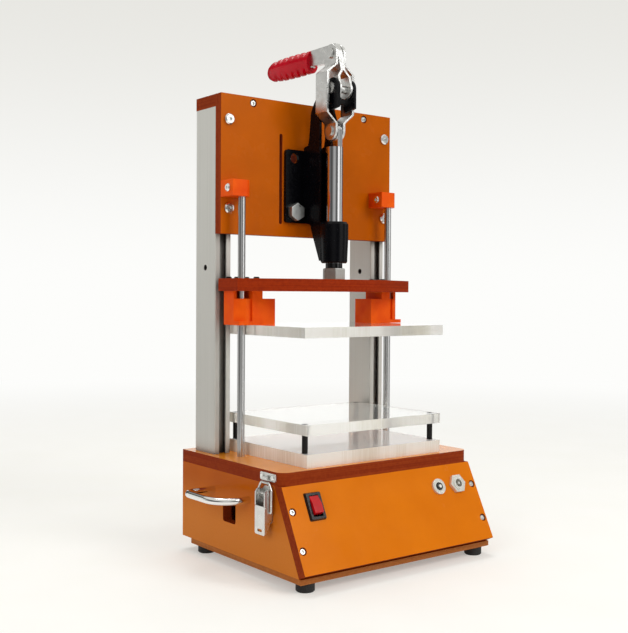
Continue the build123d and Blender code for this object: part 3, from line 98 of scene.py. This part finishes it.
class Nodes:
    """Shader nodes being put together in one tree."""

    def __init__(self, tree):
        self.tree = tree

    def add(self, kind, **settings):
        node = self.tree.nodes.new(kind)
        for name, value in settings.items():
            setattr(node, name, value)
        return node

    def link(self, source, target):
        """Joins an output to a socket, or sets the socket to a plain value."""
        if isinstance(source, (int, float, tuple)):
            target.default_value = source
        else:
            self.tree.links.new(source, target)

    def math(self, operation, first, second=0.0):
        node = self.add("ShaderNodeMath", operation=operation)
        self.link(first, node.inputs[0])
        self.link(second, node.inputs[1])
        return node.outputs[0]

    def dot(self, vector, direction):
        node = self.add("ShaderNodeVectorMath", operation="DOT_PRODUCT")
        node.inputs[1].default_value = direction
        self.link(vector, node.inputs[0])
        return node.outputs["Value"]

    def length(self, vector):
        node = self.add("ShaderNodeVectorMath", operation="LENGTH")
        self.link(vector, node.inputs[0])
        return node.outputs["Value"]

    def span(self, source, low, high, start=0.0, end=1.0, smooth=False):
        """A value moved from the range start to end into the range low to high, and held there."""
        node = self.add("ShaderNodeMapRange", interpolation_type="SMOOTHSTEP" if smooth else "LINEAR")
        for name, value in (("From Min", start), ("From Max", end), ("To Min", low), ("To Max", high)):
            node.inputs[name].default_value = value
        self.link(source, node.inputs["Value"])
        return node.outputs["Result"]

    def share(self, source, start, end, smooth=False):
        """0 before a value reaches the start, 1 past the end."""
        return self.span(source, 0.0, 1.0, start, end, smooth)

    def mix(self, factor, first, second):
        """Two colours mixed."""
        node = self.add("ShaderNodeMix", data_type="RGBA")
        for value, socket in ((factor, node.inputs[0]), (first, node.inputs[6]), (second, node.inputs[7])):
            self.link(value, socket)
        return node.outputs[2]

    def blend(self, factor, first, second):
        """Two plain numbers mixed."""
        node = self.add("ShaderNodeMix", data_type="FLOAT")
        for value, socket in ((factor, node.inputs[0]), (first, node.inputs[2]), (second, node.inputs[3])):
            self.link(value, socket)
        return node.outputs[0]

    def mix_shaders(self, factor, first, second):
        node = self.add("ShaderNodeMixShader")
        for source, socket in zip((factor, first, second), node.inputs):
            self.link(source, socket)
        return node.outputs[0]

    def glow(self, color, strength):
        node = self.add("ShaderNodeEmission")
        node.inputs["Color"].default_value = color
        self.link(strength, node.inputs["Strength"])
        return node.outputs[0]

    def ramp(self, source, stops):
        node = self.add("ShaderNodeValToRGB")
        elements = node.color_ramp.elements
        while len(elements) < len(stops):
            elements.new(0.5)
        for element, (position, color) in zip(elements, stops):
            element.position = position
            element.color = color
        self.link(source, node.inputs["Fac"])
        return node.outputs["Color"]

    def angle_round(self, direction):
        """How far a direction is turned from the camera's side, in radians."""
        toward = tuple(-part for part in ahead)
        return self.math("ARCTAN2", self.dot(direction, rightward), self.dot(direction, toward))

    def walls(self, direction):
        """The studio's brightness in a direction."""
        stops = [((180 + angle) / 360, (level, level, level, 1.0)) for angle, level in wall_levels]
        return self.ramp(self.share(self.angle_round(direction), -pi, pi), stops)

    def backdrop_seen(self):
        """1 for the rays that should meet the pale background: seen, mirrored or through glass."""
        path = self.add("ShaderNodeLightPath")
        seen = self.math("MAXIMUM", path.outputs["Is Camera Ray"], path.outputs["Is Glossy Ray"])
        return self.math("MAXIMUM", seen, path.outputs["Is Transmission Ray"])


class Finish(Nodes):
    """A material around one Principled shader, whose edges can be made to look slightly rounded."""

    def __init__(self, name, rounding=0.0, **sockets):
        self.material = bpy.data.materials.new(name)
        self.material.use_nodes = True
        super().__init__(self.material.node_tree)
        self.shader = self.tree.nodes["Principled BSDF"]
        self.place = self.add("ShaderNodeTexCoord")
        self.normal = None
        if rounding:
            edge = self.add("ShaderNodeBevel", samples=4)
            edge.inputs["Radius"].default_value = rounding
            self.normal = edge.outputs["Normal"]
            self.link(self.normal, self.shader.inputs["Normal"])
        for socket, value in sockets.items():
            self.shader.inputs[socket.replace("_", " ")].default_value = value

    def stretched(self, scale):
        """Object coordinates scaled along each axis."""
        mapping = self.add("ShaderNodeMapping")
        mapping.inputs["Scale"].default_value = scale
        self.link(self.place.outputs["Object"], mapping.inputs["Vector"])
        return mapping.outputs["Vector"]

    def noise(self, scale, detail=3.0, roughness=0.5):
        node = self.add("ShaderNodeTexNoise")
        node.inputs["Scale"].default_value = 1.0
        node.inputs["Detail"].default_value = detail
        node.inputs["Roughness"].default_value = roughness
        self.link(self.stretched(scale), node.inputs["Vector"])
        return node.outputs["Fac"]

    def lines(self, scale, direction, distortion=0.0):
        """Fine parallel lines across one axis."""
        node = self.add("ShaderNodeTexWave", bands_direction=direction)
        node.inputs["Scale"].default_value = 1.0
        node.inputs["Distortion"].default_value = distortion
        node.inputs["Detail"].default_value = 2.0
        self.link(self.stretched(scale), node.inputs["Vector"])
        return node.outputs["Fac"]

    def height(self, low, high):
        """0 under one height and 1 over another."""
        return self.share(self.dot(self.place.outputs["Object"], upright), low, high, True)

    def from_line(self, point, axis):
        """The distance from a line through a point."""
        offset = self.add("ShaderNodeVectorMath", operation="SUBTRACT")
        offset.inputs[1].default_value = point
        self.link(self.place.outputs["Object"], offset.inputs[0])
        cross = self.add("ShaderNodeVectorMath", operation="CROSS_PRODUCT")
        cross.inputs[1].default_value = axis
        self.link(offset.outputs[0], cross.inputs[0])
        return self.length(cross.outputs[0])

    def openness(self, reach):
        """1 in the open, less down in slots and corners."""
        node = self.add("ShaderNodeAmbientOcclusion", samples=4)
        node.inputs["Distance"].default_value = reach
        return node.outputs["AO"]

    def level_faces(self):
        """1 on the faces that look up or down, 0 on the rest."""
        size = self.math("ABSOLUTE", self.dot(self.place.outputs["Normal"], upright))
        return self.share(size, 0.75, 0.9)

    def bump(self, source, distance, strength):
        node = self.add("ShaderNodeBump")
        node.inputs["Strength"].default_value = strength
        node.inputs["Distance"].default_value = distance
        self.link(source, node.inputs["Height"])
        if self.normal:
            self.link(self.normal, node.inputs["Normal"])
        self.normal = node.outputs["Normal"]
        self.link(self.normal, self.shader.inputs["Normal"])

    def color(self, source):
        self.link(source, self.shader.inputs["Base Color"])

    def roughness(self, source):
        self.link(source, self.shader.inputs["Roughness"])

    def surface(self, source):
        """Puts another shader's output in the Principled shader's place."""
        self.link(source, self.tree.nodes["Material Output"].inputs["Surface"])


def laminate(name, light, dark, gloss=0.2, shine=0.08, foot=None):
    """Resin sheet: even, faintly clouded glossy faces, which may grow paler toward the bottom: a painted
    reflection of the floor.
    """
    finish = Finish(name, Roughness=gloss, IOR=1.5, Specular_IOR_Level=shine)
    clouds = finish.noise((30, 30, 30), 4.0, 0.55)
    face = finish.ramp(clouds, [(0.3, dark), (0.7, light)])
    # Painted reflection of the floor: the face grows paler toward the bottom
    if foot:
        face = finish.mix(finish.height(0.03, 0.068), foot, face)
    fibres = finish.noise((1500, 1500, 1500), 2.0)
    finish.color(finish.mix(finish.span(fibres, 0.0, 0.16, 0.35, 0.7), face, dark))
    smears = finish.noise((55, 55, 55), 5.0, 0.6)
    finish.roughness(finish.span(smears, gloss * 0.75, gloss * 1.4, 0.3, 0.7))
    finish.bump(finish.noise((260, 260, 260), 2.0), 0.000012, 0.4)
    return finish


def sawn(name, axis, light, dark):
    """The sheet's cut edges: dull rust brown with faint layers."""
    finish = Finish(name, Roughness=0.55, IOR=1.5, Specular_IOR_Level=0.05)
    layers = finish.noise(tuple(6 + 1100 * abs(part) for part in axis), 2.0)
    saw = finish.noise((420, 420, 420), 3.0)
    finish.color(finish.ramp(finish.blend(0.4, layers, saw), [(0.4, dark), (0.6, light)]))
    finish.bump(saw, 0.000012, 0.4)
    return finish


def metal(name, color, rough, scale, depth, metallic=1.0, stain=0.8, shade=0.35):
    """Bare metal with fine marks drawn out along the axes where the scale is small."""
    finish = Finish(name, Metallic=metallic, Roughness=rough)
    marks = finish.noise(scale, 3.0, 0.6)
    dull = tuple(part * stain for part in color[:3]) + (1.0,)
    stains = finish.noise((110, 110, 110), 4.0)
    body = finish.mix(finish.span(stains, 0.0, 0.8, 0.35, 0.75), color, dull)
    finish.color(finish.mix(finish.span(marks, 0.0, shade, 0.4, 0.75), body, dull))
    finish.roughness(finish.span(marks, rough * 0.75, rough * 1.35, 0.3, 0.7))
    finish.bump(marks, depth, 0.5)
    return finish


def moulded(name, color, shade, rough, grain, depth, **sockets):
    """Plastic, rubber or paint with a fine skin."""
    finish = Finish(name, Roughness=rough, **sockets)
    patches = finish.noise((90, 90, 90), 4.0)
    finish.color(finish.ramp(patches, [(0.3, shade), (0.7, color)]))
    skin = finish.noise((grain, grain, grain), 2.0)
    finish.roughness(finish.span(skin, rough * 0.8, rough * 1.25, 0.3, 0.7))
    finish.bump(skin, depth, 0.6)
    return finish


def printed(name, color, shade):
    """Printed plastic: level layers on the sides and close tracks on the top."""
    finish = Finish(name, Roughness=0.45, IOR=1.46, Specular_IOR_Level=0.12)
    patches = finish.noise((60, 60, 60), 4.0)
    base = finish.ramp(patches, [(0.3, shade), (0.7, color)])
    layers = finish.lines((1, 1, 420), "Z", 0.5)
    tracks = finish.lines((600, 600, 1), "DIAGONAL", 0.2)
    ridges = finish.blend(finish.level_faces(), layers, tracks)
    finish.color(finish.mix(finish.span(ridges, 0.0, 0.35), base, shade))
    finish.bump(ridges, 0.00008, 0.8)
    return finish


def clear_sheet(name, edge_light, edge_dark, clear_edge, clear_face):
    """Clear acrylic with polished faces and sawn edges that scatter the light."""
    finish = Finish(name, Roughness=0.03, IOR=1.49)
    facing = finish.level_faces()
    saw = finish.noise((900, 900, 30), 2.0)
    drift = finish.noise((26, 26, 8), 2.0)
    edge = finish.ramp(finish.blend(0.75, saw, drift), [(0.42, edge_dark), (0.58, edge_light)])
    finish.color(finish.mix(facing, edge, srgb(253, 254, 252)))
    finish.roughness(finish.blend(facing, 0.16, 0.015))
    finish.link(finish.blend(facing, clear_edge, clear_face), finish.shader.inputs["Transmission Weight"])
    finish.bump(saw, 0.000006, 0.3)
    shadow = finish.add("ShaderNodeLightPath").outputs["Is Shadow Ray"]
    through = finish.add("ShaderNodeBsdfTransparent").outputs[0]
    passing = finish.math("MULTIPLY", shadow, light_through)
    finish.surface(finish.mix_shaders(passing, finish.shader.outputs[0], through))
    return finish


def column_metal(name):
    """Drawn aluminium, dull and pale, with painted shade darkening its slots and corners and painted light making
    it paler toward the top.
    """
    finish = Finish(name, rounding=0.0003, Metallic=0.25, Roughness=0.42, Specular_IOR_Level=0.3)
    marks = finish.noise((1600, 1600, 5), 3.0, 0.6)
    # Painted light: paler toward the top, darker lower down
    pale = finish.mix(finish.height(0.08, 0.38), srgb(204, 202, 195), srgb(222, 221, 214))
    pale = finish.mix(finish.span(marks, 0.0, 0.2, 0.4, 0.75), pale, srgb(178, 176, 170))
    # Painted shade: the dark colour fills the slots and corners where little light reaches
    finish.color(finish.mix(finish.share(finish.openness(0.012), 0.35, 0.8), srgb(44, 36, 32), pale))
    finish.roughness(finish.span(marks, 0.36, 0.52, 0.3, 0.7))
    finish.bump(marks, 0.000004, 0.5)
    return finish


def ring_lens(name, point, axis):
    """The lamp's lens: a milky middle in a dark ring."""
    finish = Finish(name, Roughness=0.12, IOR=1.5)
    skin = finish.noise((500, 500, 500), 2.0)
    away = finish.from_line(point, axis)
    milky = finish.mix(finish.span(skin, 0.0, 0.2, 0.3, 0.7), srgb(246, 243, 232), srgb(206, 200, 186))
    finish.color(finish.mix(finish.share(away, 0.0012, 0.0016), milky, srgb(24, 28, 26)))
    finish.bump(skin, 0.000002, 0.4)
    return finish


def plunger_metal(name, stud_top):
    """Polished steel over a threaded end painted dark, a painted reflection of the dark surroundings, with paler
    thread lines as painted highlights.
    """
    finish = metal(name, srgb(218, 218, 220), 0.12, (900, 900, 8), 0.0000002, stain=0.94, shade=0.1)
    threads = finish.lines((1, 1, 1000), "Z")
    body = finish.shader.inputs["Base Color"].links[0].from_socket
    over = finish.height(stud_top - 0.0001, stud_top + 0.0001)
    # Painted reflection: the threaded end is coloured dark for the dark surroundings it mirrors, and its paler
    # thread lines are painted highlights
    stud = finish.mix(finish.span(threads, 0.0, 0.6), srgb(30, 29, 29), srgb(90, 90, 90))
    finish.color(finish.mix(over, stud, body))
    return finish


# All the sheets are one resin. The front panel is given a brighter colour than the head plate and the side panels
# a darker one, painted light and shade for how the lamps fall on them; the deck's paler colour is a painted
# reflection of the white studio in its glossy top
sheet_colors = srgb(204, 98, 4), srgb(190, 90, 2)
edge_colors = srgb(151, 59, 20), srgb(133, 45, 14)
plain_sheet = laminate("laminate", *sheet_colors)
head_sheet = laminate("laminate_head", *sheet_colors, gloss=0.22)
deck_sheet = laminate("laminate_deck", srgb(238, 148, 42), srgb(226, 136, 32), gloss=0.13, shine=0.32)
platen_sheet = laminate("laminate_platen", srgb(206, 116, 40), srgb(190, 100, 26), gloss=0.16, shine=0.3)
front_sheet = laminate("laminate_front", srgb(230, 124, 8), srgb(222, 116, 4), gloss=0.2, shine=0.1)
# The side panels' paler colour low down is a painted reflection of the floor
side_sheet = laminate("laminate_side", srgb(192, 92, 0), srgb(184, 86, 0), gloss=0.16, shine=0.06,
                      foot=srgb(216, 126, 42))
level_edge = sawn("sawn_level", upright, *edge_colors)
side_edge = sawn("sawn_side", across, *edge_colors)
rear_edge = sawn("sawn_upright", along, *edge_colors)
front_edge = sawn("sawn_front", slope_axis, *edge_colors)
platen_edge = sawn("sawn_platen", upright, srgb(162, 52, 14), srgb(140, 40, 10))
bottom_edge = sawn("sawn_bottom", upright, srgb(184, 114, 60), srgb(168, 98, 48))
# Each sheet piece: the axis its faces look along, the faces' finish and the edges' finish
sheets = {
    "head_plate": (along, head_sheet, rear_edge),
    "top_cap": (upright, plain_sheet, level_edge),
    "deck_plate": (upright, deck_sheet, level_edge),
    "press_platen": (upright, platen_sheet, platen_edge),
    "front_panel": (slope_axis, front_sheet, front_edge),
    "back_panel": (along, plain_sheet, rear_edge),
    "bottom_plate": (upright, plain_sheet, bottom_edge),
    "side_panel_left": (across, side_sheet, side_edge),
    "side_panel_right": (across, side_sheet, side_edge),
}

steel = metal("zinc_sheet", srgb(222, 222, 220), 0.3, (160, 160, 160), 0.0000003, stain=0.92, shade=0.12)
bright = metal("bright_screw", srgb(238, 238, 236), 0.2, (600, 600, 600), 0.0000006, stain=0.9, shade=0.2)
black = metal("black_screw", srgb(40, 38, 37), 0.3, (900, 900, 900), 0.000002, metallic=0.8)
ground = metal("ground_rod", srgb(206, 206, 206), 0.26, (1200, 1200, 8), 0.0000002, stain=0.94, shade=0.1)
chrome = metal("chromed_bar", srgb(236, 236, 234), 0.06, (60, 60, 60), 0.0000002, stain=0.96, shade=0.1)
polished = plunger_metal("polished_plunger", stud_top=0.2384)
hexagon = metal("brushed_hexagon", srgb(182, 180, 176), 0.38, (1500, 1500, 30), 0.00001, metallic=0.85)
forged = metal("forged_bolt", srgb(196, 198, 196), 0.34, (260, 260, 260), 0.000012, metallic=0.9, stain=0.75,
               shade=0.4)
plated = metal("plated_fitting", srgb(238, 236, 228), 0.22, (300, 300, 300), 0.0000006, metallic=0.6,
               stain=0.9, shade=0.15)
paint = moulded("clamp_paint", srgb(8, 8, 12), srgb(4, 4, 7), 0.24, 380, 0.000005, Specular_IOR_Level=0.14)
orange = printed("orange_print", srgb(255, 104, 8), srgb(238, 76, 2))
casing = moulded("black_moulded", srgb(22, 17, 17), srgb(14, 11, 11), 0.24, 900, 0.000006)
red = moulded("red_moulded", srgb(206, 10, 22), srgb(184, 6, 16), 0.16, 600, 0.000003)
sleeve = moulded("grip_sleeve", srgb(206, 2, 34), srgb(190, 1, 26), 0.2, 420, 0.000003, Specular_IOR_Level=0.18)
rubber = moulded("foot_rubber", srgb(30, 29, 29), srgb(18, 18, 18), 0.7, 1500, 0.00006)
lamp_low, lamp_high = (Vector(corner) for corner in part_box("lamp_lens"))
lens = ring_lens("lens_plastic", (lamp_low + lamp_high) / 2, slope_axis)
acrylic = clear_sheet("acrylic_sheet", srgb(255, 254, 249), srgb(236, 232, 218), clear_edge=0.5, clear_face=0.9)
probe_acrylic = clear_sheet("acrylic_probe_sheet", srgb(255, 251, 242), srgb(232, 222, 204), clear_edge=0.15,
                            clear_face=0.45)

groups = {
    column_metal("extruded_bar"): "columns",
    polished: "plunger",
    steel: "latch_bases latch_lever_left latch_lever_right latch_bail_left latch_bail_right latch_catches"
    " hinge_base_leaves hinge_lid_leaves pivot_pins lever_plate_left lever_plate_right toggle_link_left"
    " toggle_link_right link_rivets clamp_pivot_pin",
    bright: "foot_screws panel_screws carry_handle_screws latch_screws catch_screws slot_nuts cap_screws"
    " head_screws rod_clamp_screws",
    black: "plate_standoffs carrier_screws deck_screws bracket_screws pressure_screws",
    ground: "guide_rods linear_bearings",
    chrome: "carry_handles",
    plated: "lamp_bezel power_jack panel_nuts",
    hexagon: "plunger_nut",
    forged: "clamp_bolts",
    paint: "clamp_body",
    orange: "rod_clamps guide_bracket_left guide_bracket_right",
    casing: "switch_housing",
    red: "switch_rocker",
    sleeve: "lever_grip",
    rubber: "rubber_feet",
    lens: "lamp_lens",
    acrylic: "carrier_plate pressure_plate",
    probe_acrylic: "probe_plate",
}
looks = {name: face for name, (_, face, _) in sheets.items()}
for look, names in groups.items():
    for name in names.split():
        looks[name] = look
for name, piece in nodes.items():
    piece.data.materials.clear()
    piece.data.materials.append(looks[name].material)

# Pieces with edges that catch the light, and how far each edge is rounded
roundings = {
    "toggle_link_left toggle_link_right lever_plate_left lever_plate_right": 0.0003,
    "clamp_body clamp_bolts plunger_nut": 0.0005,
    "latch_bases latch_lever_left latch_lever_right latch_catches": 0.0002,
    "hinge_base_leaves hinge_lid_leaves": 0.0003,
    "switch_housing switch_rocker": 0.0004,
    "guide_bracket_left guide_bracket_right rod_clamps": 0.0004,
    "carrier_plate pressure_plate probe_plate": 0.0004,
    " ".join(sheets): 0.0003,
}
weld_distance = 1e-7  # points this near are one
flat_angle, sharp_angle, bevel_angle = radians(0.5), radians(30), radians(32)
facing_least = 0.9  # a face whose normal reaches less far along its sheet's axis is a sawn edge


def stand_in(name, mesh, smooth_angle):
    """Shows a mesh in a CAD node's place, smooth except over its sharp edges."""
    mesh.polygons.foreach_set("use_smooth", [True] * len(mesh.polygons))
    mesh.set_sharp_from_angle(angle=smooth_angle)
    piece = placed(name + "_finished", mesh)
    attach(piece, node_body[name])
    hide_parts(name)
    return piece


def rounded(name, width):
    """A copy of a CAD node with its sharp edges rounded, which stands in the node's place."""
    mesh = nodes[name].data.copy()
    work = bmesh.new()
    work.from_mesh(mesh)
    bmesh.ops.remove_doubles(work, verts=work.verts, dist=weld_distance)
    bmesh.ops.dissolve_limit(work, angle_limit=flat_angle, verts=work.verts, edges=work.edges)
    work.to_mesh(mesh)
    work.free()
    if "custom_normal" in mesh.attributes:
        mesh.attributes.remove(mesh.attributes["custom_normal"])
    if name in sheets:
        axis, _, edge = sheets[name]
        mesh.materials.append(edge.material)
        for polygon in mesh.polygons:
            polygon.material_index = int(abs(polygon.normal.dot(Vector(axis))) < facing_least)
    bevel = stand_in(name, mesh, sharp_angle).modifiers.new("rounding", "BEVEL")
    bevel.width = width
    bevel.segments = 2
    bevel.limit_method = "ANGLE"
    bevel.angle_limit = bevel_angle
    bevel.harden_normals = True


for names, width in roundings.items():
    for name in names.split():
        rounded(name, width)

# Grip: the moulded sleeve with slanting grooves over its upper and lower sides. A part is a share of its length
grip_low, grip_high = (Vector(corner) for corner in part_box("lever_grip"))
grip_length = grip_high.y - grip_low.y
grip_half_width = (grip_high.x - grip_low.x) / 2
grip_half_height = (grip_high.z - grip_low.z) / 2 - 0.00006  # keeps it under the CAD grip's top
grip_rings, grip_sides = 168, 72
grip_rise, level_part = 0.001, 0.36  # how much the middle line rises, and the part where it is at middle height
grip_profile = [(0, 0.95), (0.3, 1.0), (0.62, 0.98), (1 - 0.009 / grip_length, 0.86),
                (1 - 0.0025 / grip_length, 0.58), (1, 0.22)]
ease_step = 0.012  # the step between the parts whose sizes are averaged
groove_count, first_groove, ungrooved = 6, 0.008, 0.022  # ungrooved is the length left over at both ends together
groove_slant, groove_depth, groove_width = 0.0035, 0.0013, 0.0012
# Grooves start at the first share of the half height, and are full when the second is added to it
groove_edge, groove_fade = 0.45, 0.35
groove_floor = 0.0001  # keeps a groove from cutting past the middle


def held(value):
    """A value held between 0 and 1."""
    return min(max(value, 0.0), 1.0)


def profile_share(part):
    """The sleeve's size at a part of its length."""
    for (before, low), (after, high) in zip(grip_profile, grip_profile[1:]):
        if part <= after:
            return low + (high - low) * (part - before) / (after - before)
    return grip_profile[-1][1]


def groove_cut(part, turn):
    """How deep the grooves cut at a part of the length and a turn round it."""
    over = held((abs(sin(turn)) - groove_edge) / groove_fade)
    cut = 0.0
    for groove in range(groove_count):
        middle = first_groove + groove * (grip_length - ungrooved) / (groove_count - 1) + groove_slant * cos(turn)
        cut += groove_depth * over * exp(-(((part * grip_length - middle) / groove_width) ** 2))
    return cut


def sleeve_point(part, share, turn):
    """A point of the sleeve's skin, where the share is the size there."""
    cut = groove_cut(part, turn)
    spot = Vector((grip_half_width * share * cos(turn), 0.0, grip_half_height * share * sin(turn)))
    spot *= 1 - cut / max(spot.length, cut + groove_floor)
    middle_z = (grip_low.z + grip_high.z) / 2 + grip_rise * (part - level_part)
    return Vector(((grip_low.x + grip_high.x) / 2, grip_low.y + grip_length * part, middle_z)) + spot


sleeve_mesh = bpy.data.meshes.new("grip_sleeve")
sleeve_work = bmesh.new()
rings = []
for index in range(grip_rings + 1):
    part = index / grip_rings
    share = sum(profile_share(held(part + step * ease_step)) for step in (-2, -1, 0, 1, 2)) / 5
    turns = [2 * pi * side / grip_sides for side in range(grip_sides)]
    rings.append([sleeve_work.verts.new(sleeve_point(part, share, turn)) for turn in turns])
for before, after in zip(rings, rings[1:]):
    for side in range(grip_sides):
        following = (side + 1) % grip_sides
        sleeve_work.faces.new((before[side], before[following], after[following], after[side]))
sleeve_work.faces.new(rings[0])
sleeve_work.faces.new(rings[-1])
bmesh.ops.recalc_face_normals(sleeve_work, faces=sleeve_work.faces)
sleeve_work.to_mesh(sleeve_mesh)
sleeve_work.free()
sleeve_mesh.materials.append(sleeve.material)
stand_in("lever_grip", sleeve_mesh, radians(50))

# Floor: real shading near the object, which fades into the background's own white further out. Mirrors see it
# fade sooner, into the light of the studio's walls
far_white = srgb(253, 253, 251)
floor_reach = 8.0
fade_start, fade_end, mirror_fade_end = 0.35, 1.7, 0.9
floor_mesh = bpy.data.meshes.new("floor")
floor_work = bmesh.new()
bmesh.ops.create_grid(floor_work, x_segments=1, y_segments=1, size=floor_reach)
floor_work.to_mesh(floor_mesh)
floor_work.free()
floor = placed("floor", floor_mesh)

paper = Finish("floor_paper", Roughness=0.9, Specular_IOR_Level=0.1)
mottle = paper.noise((14, 14, 14), 3.0)
paper.color(paper.ramp(mottle, [(0.2, srgb(212, 211, 206)), (0.8, srgb(217, 216, 211))]))
seen = paper.backdrop_seen()
mirrored = paper.add("ShaderNodeLightPath").outputs["Is Glossy Ray"]
near = paper.add("ShaderNodeAddShader")
paper.link(paper.shader.outputs[0], near.inputs[0])
paper.link(paper.glow(srgb(250, 249, 243), paper.math("MULTIPLY", seen, paper_lift)), near.inputs[1])
floor_place = paper.place.outputs["Object"]
far = paper.glow(far_white, paper.blend(mirrored, 1.0, paper.walls(floor_place)))
distance = paper.length(floor_place)
fade = paper.blend(mirrored, paper.share(distance, fade_start, fade_end, True),
                   paper.share(distance, fade_start, mirror_fade_end, True))
paper.surface(paper.mix_shaders(paper.math("MULTIPLY", seen, fade), near.outputs[0], far))
floor_mesh.materials.append(paper.material)

# Studio: a pale backdrop, a dim room with bright screens in front of it, and a bright ceiling. Where these
# begin and end is given by how far a direction rises, from 0 when level to 1 when upright
backdrop_end = 0.32
ceiling_range = 0.3, 0.6
flag_bottom, flag_top = (0.3, 0.36), (0.5, 0.58)
flag_side = -1.1, -0.7  # in radians round the object
world = bpy.data.worlds.new("studio")
bpy.context.scene.world = world
world.use_nodes = True
studio = Nodes(world.node_tree)
background = studio.tree.nodes["Background"]
direction = studio.add("ShaderNodeTexCoord").outputs["Generated"]
rise = studio.dot(direction, upright)
path = studio.add("ShaderNodeLightPath")
backdrop = studio.mix(studio.share(rise, 0.0, backdrop_end, True), far_white, srgb(231, 230, 225))
wall_light = studio.math("MULTIPLY", studio.walls(direction), wall_gain)
room = studio.blend(studio.share(rise, *ceiling_range, True), wall_light, ceiling_level)
# A dark flag high on the left, which draws the dark lines along the bright bars
flag = studio.math("MULTIPLY", studio.share(rise, *flag_bottom), studio.span(rise, 1.0, 0.0, *flag_top))
flag = studio.math("MULTIPLY", flag, studio.span(studio.angle_round(direction), 1.0, 0.0, *flag_side))
room = studio.math("MULTIPLY", room, studio.span(flag, 1.0, flag_level))
strength = studio.blend(path.outputs["Is Glossy Ray"], room_light, room)
strength = studio.blend(path.outputs["Is Camera Ray"], strength, 1.0)
strength = studio.blend(path.outputs["Is Transmission Ray"], strength, 1.0)
studio.link(studio.mix(studio.backdrop_seen(), srgb(255, 255, 255), backdrop), background.inputs["Color"])
studio.link(strength, background.inputs["Strength"])

lamp_target = Vector((0, 0, 0.2))


def lamp(name, place, size, power):
    """A soft square light that faces the middle of the object."""
    data = bpy.data.lights.new(name, "AREA")
    data.size = size
    data.energy = power
    light = placed(name, data)
    light.location = place
    light.rotation_euler = (lamp_target - Vector(place)).to_track_quat("-Z", "Y").to_euler()
    return light


lamp("key", (0.55, -1.5, 1.25), 0.9, 14)
fill = lamp("fill", (-1.5, -0.5, 0.7), 0.8, 6)
fill.visible_glossy = False
lamp("top", (0.1, 0.5, 1.8), 0.8, 10)

# Camera, from the photograph's own perspective
back = Vector((sin(camera_turn) * cos(camera_tip), -cos(camera_turn) * cos(camera_tip), sin(camera_tip)))
level_right = (-back).cross(Vector(upright)).normalized()
level_up = level_right.cross(-back)
right = cos(camera_roll) * level_right + sin(camera_roll) * level_up
up = -sin(camera_roll) * level_right + cos(camera_roll) * level_up
camera_data = bpy.data.cameras.new("camera")
camera_data.sensor_fit = "VERTICAL"
camera_data.sensor_height = 36.0
camera_data.lens = camera_data.sensor_height * focal_length * picture_scale / picture_height
camera_data.clip_start = 0.02
camera = placed("camera", camera_data)
camera.matrix_world = Matrix.Translation(camera_place) @ Matrix((right, up, back)).transposed().to_4x4()
bpy.context.scene.camera = camera
bpy.context.scene.view_settings.view_transform = "Standard"
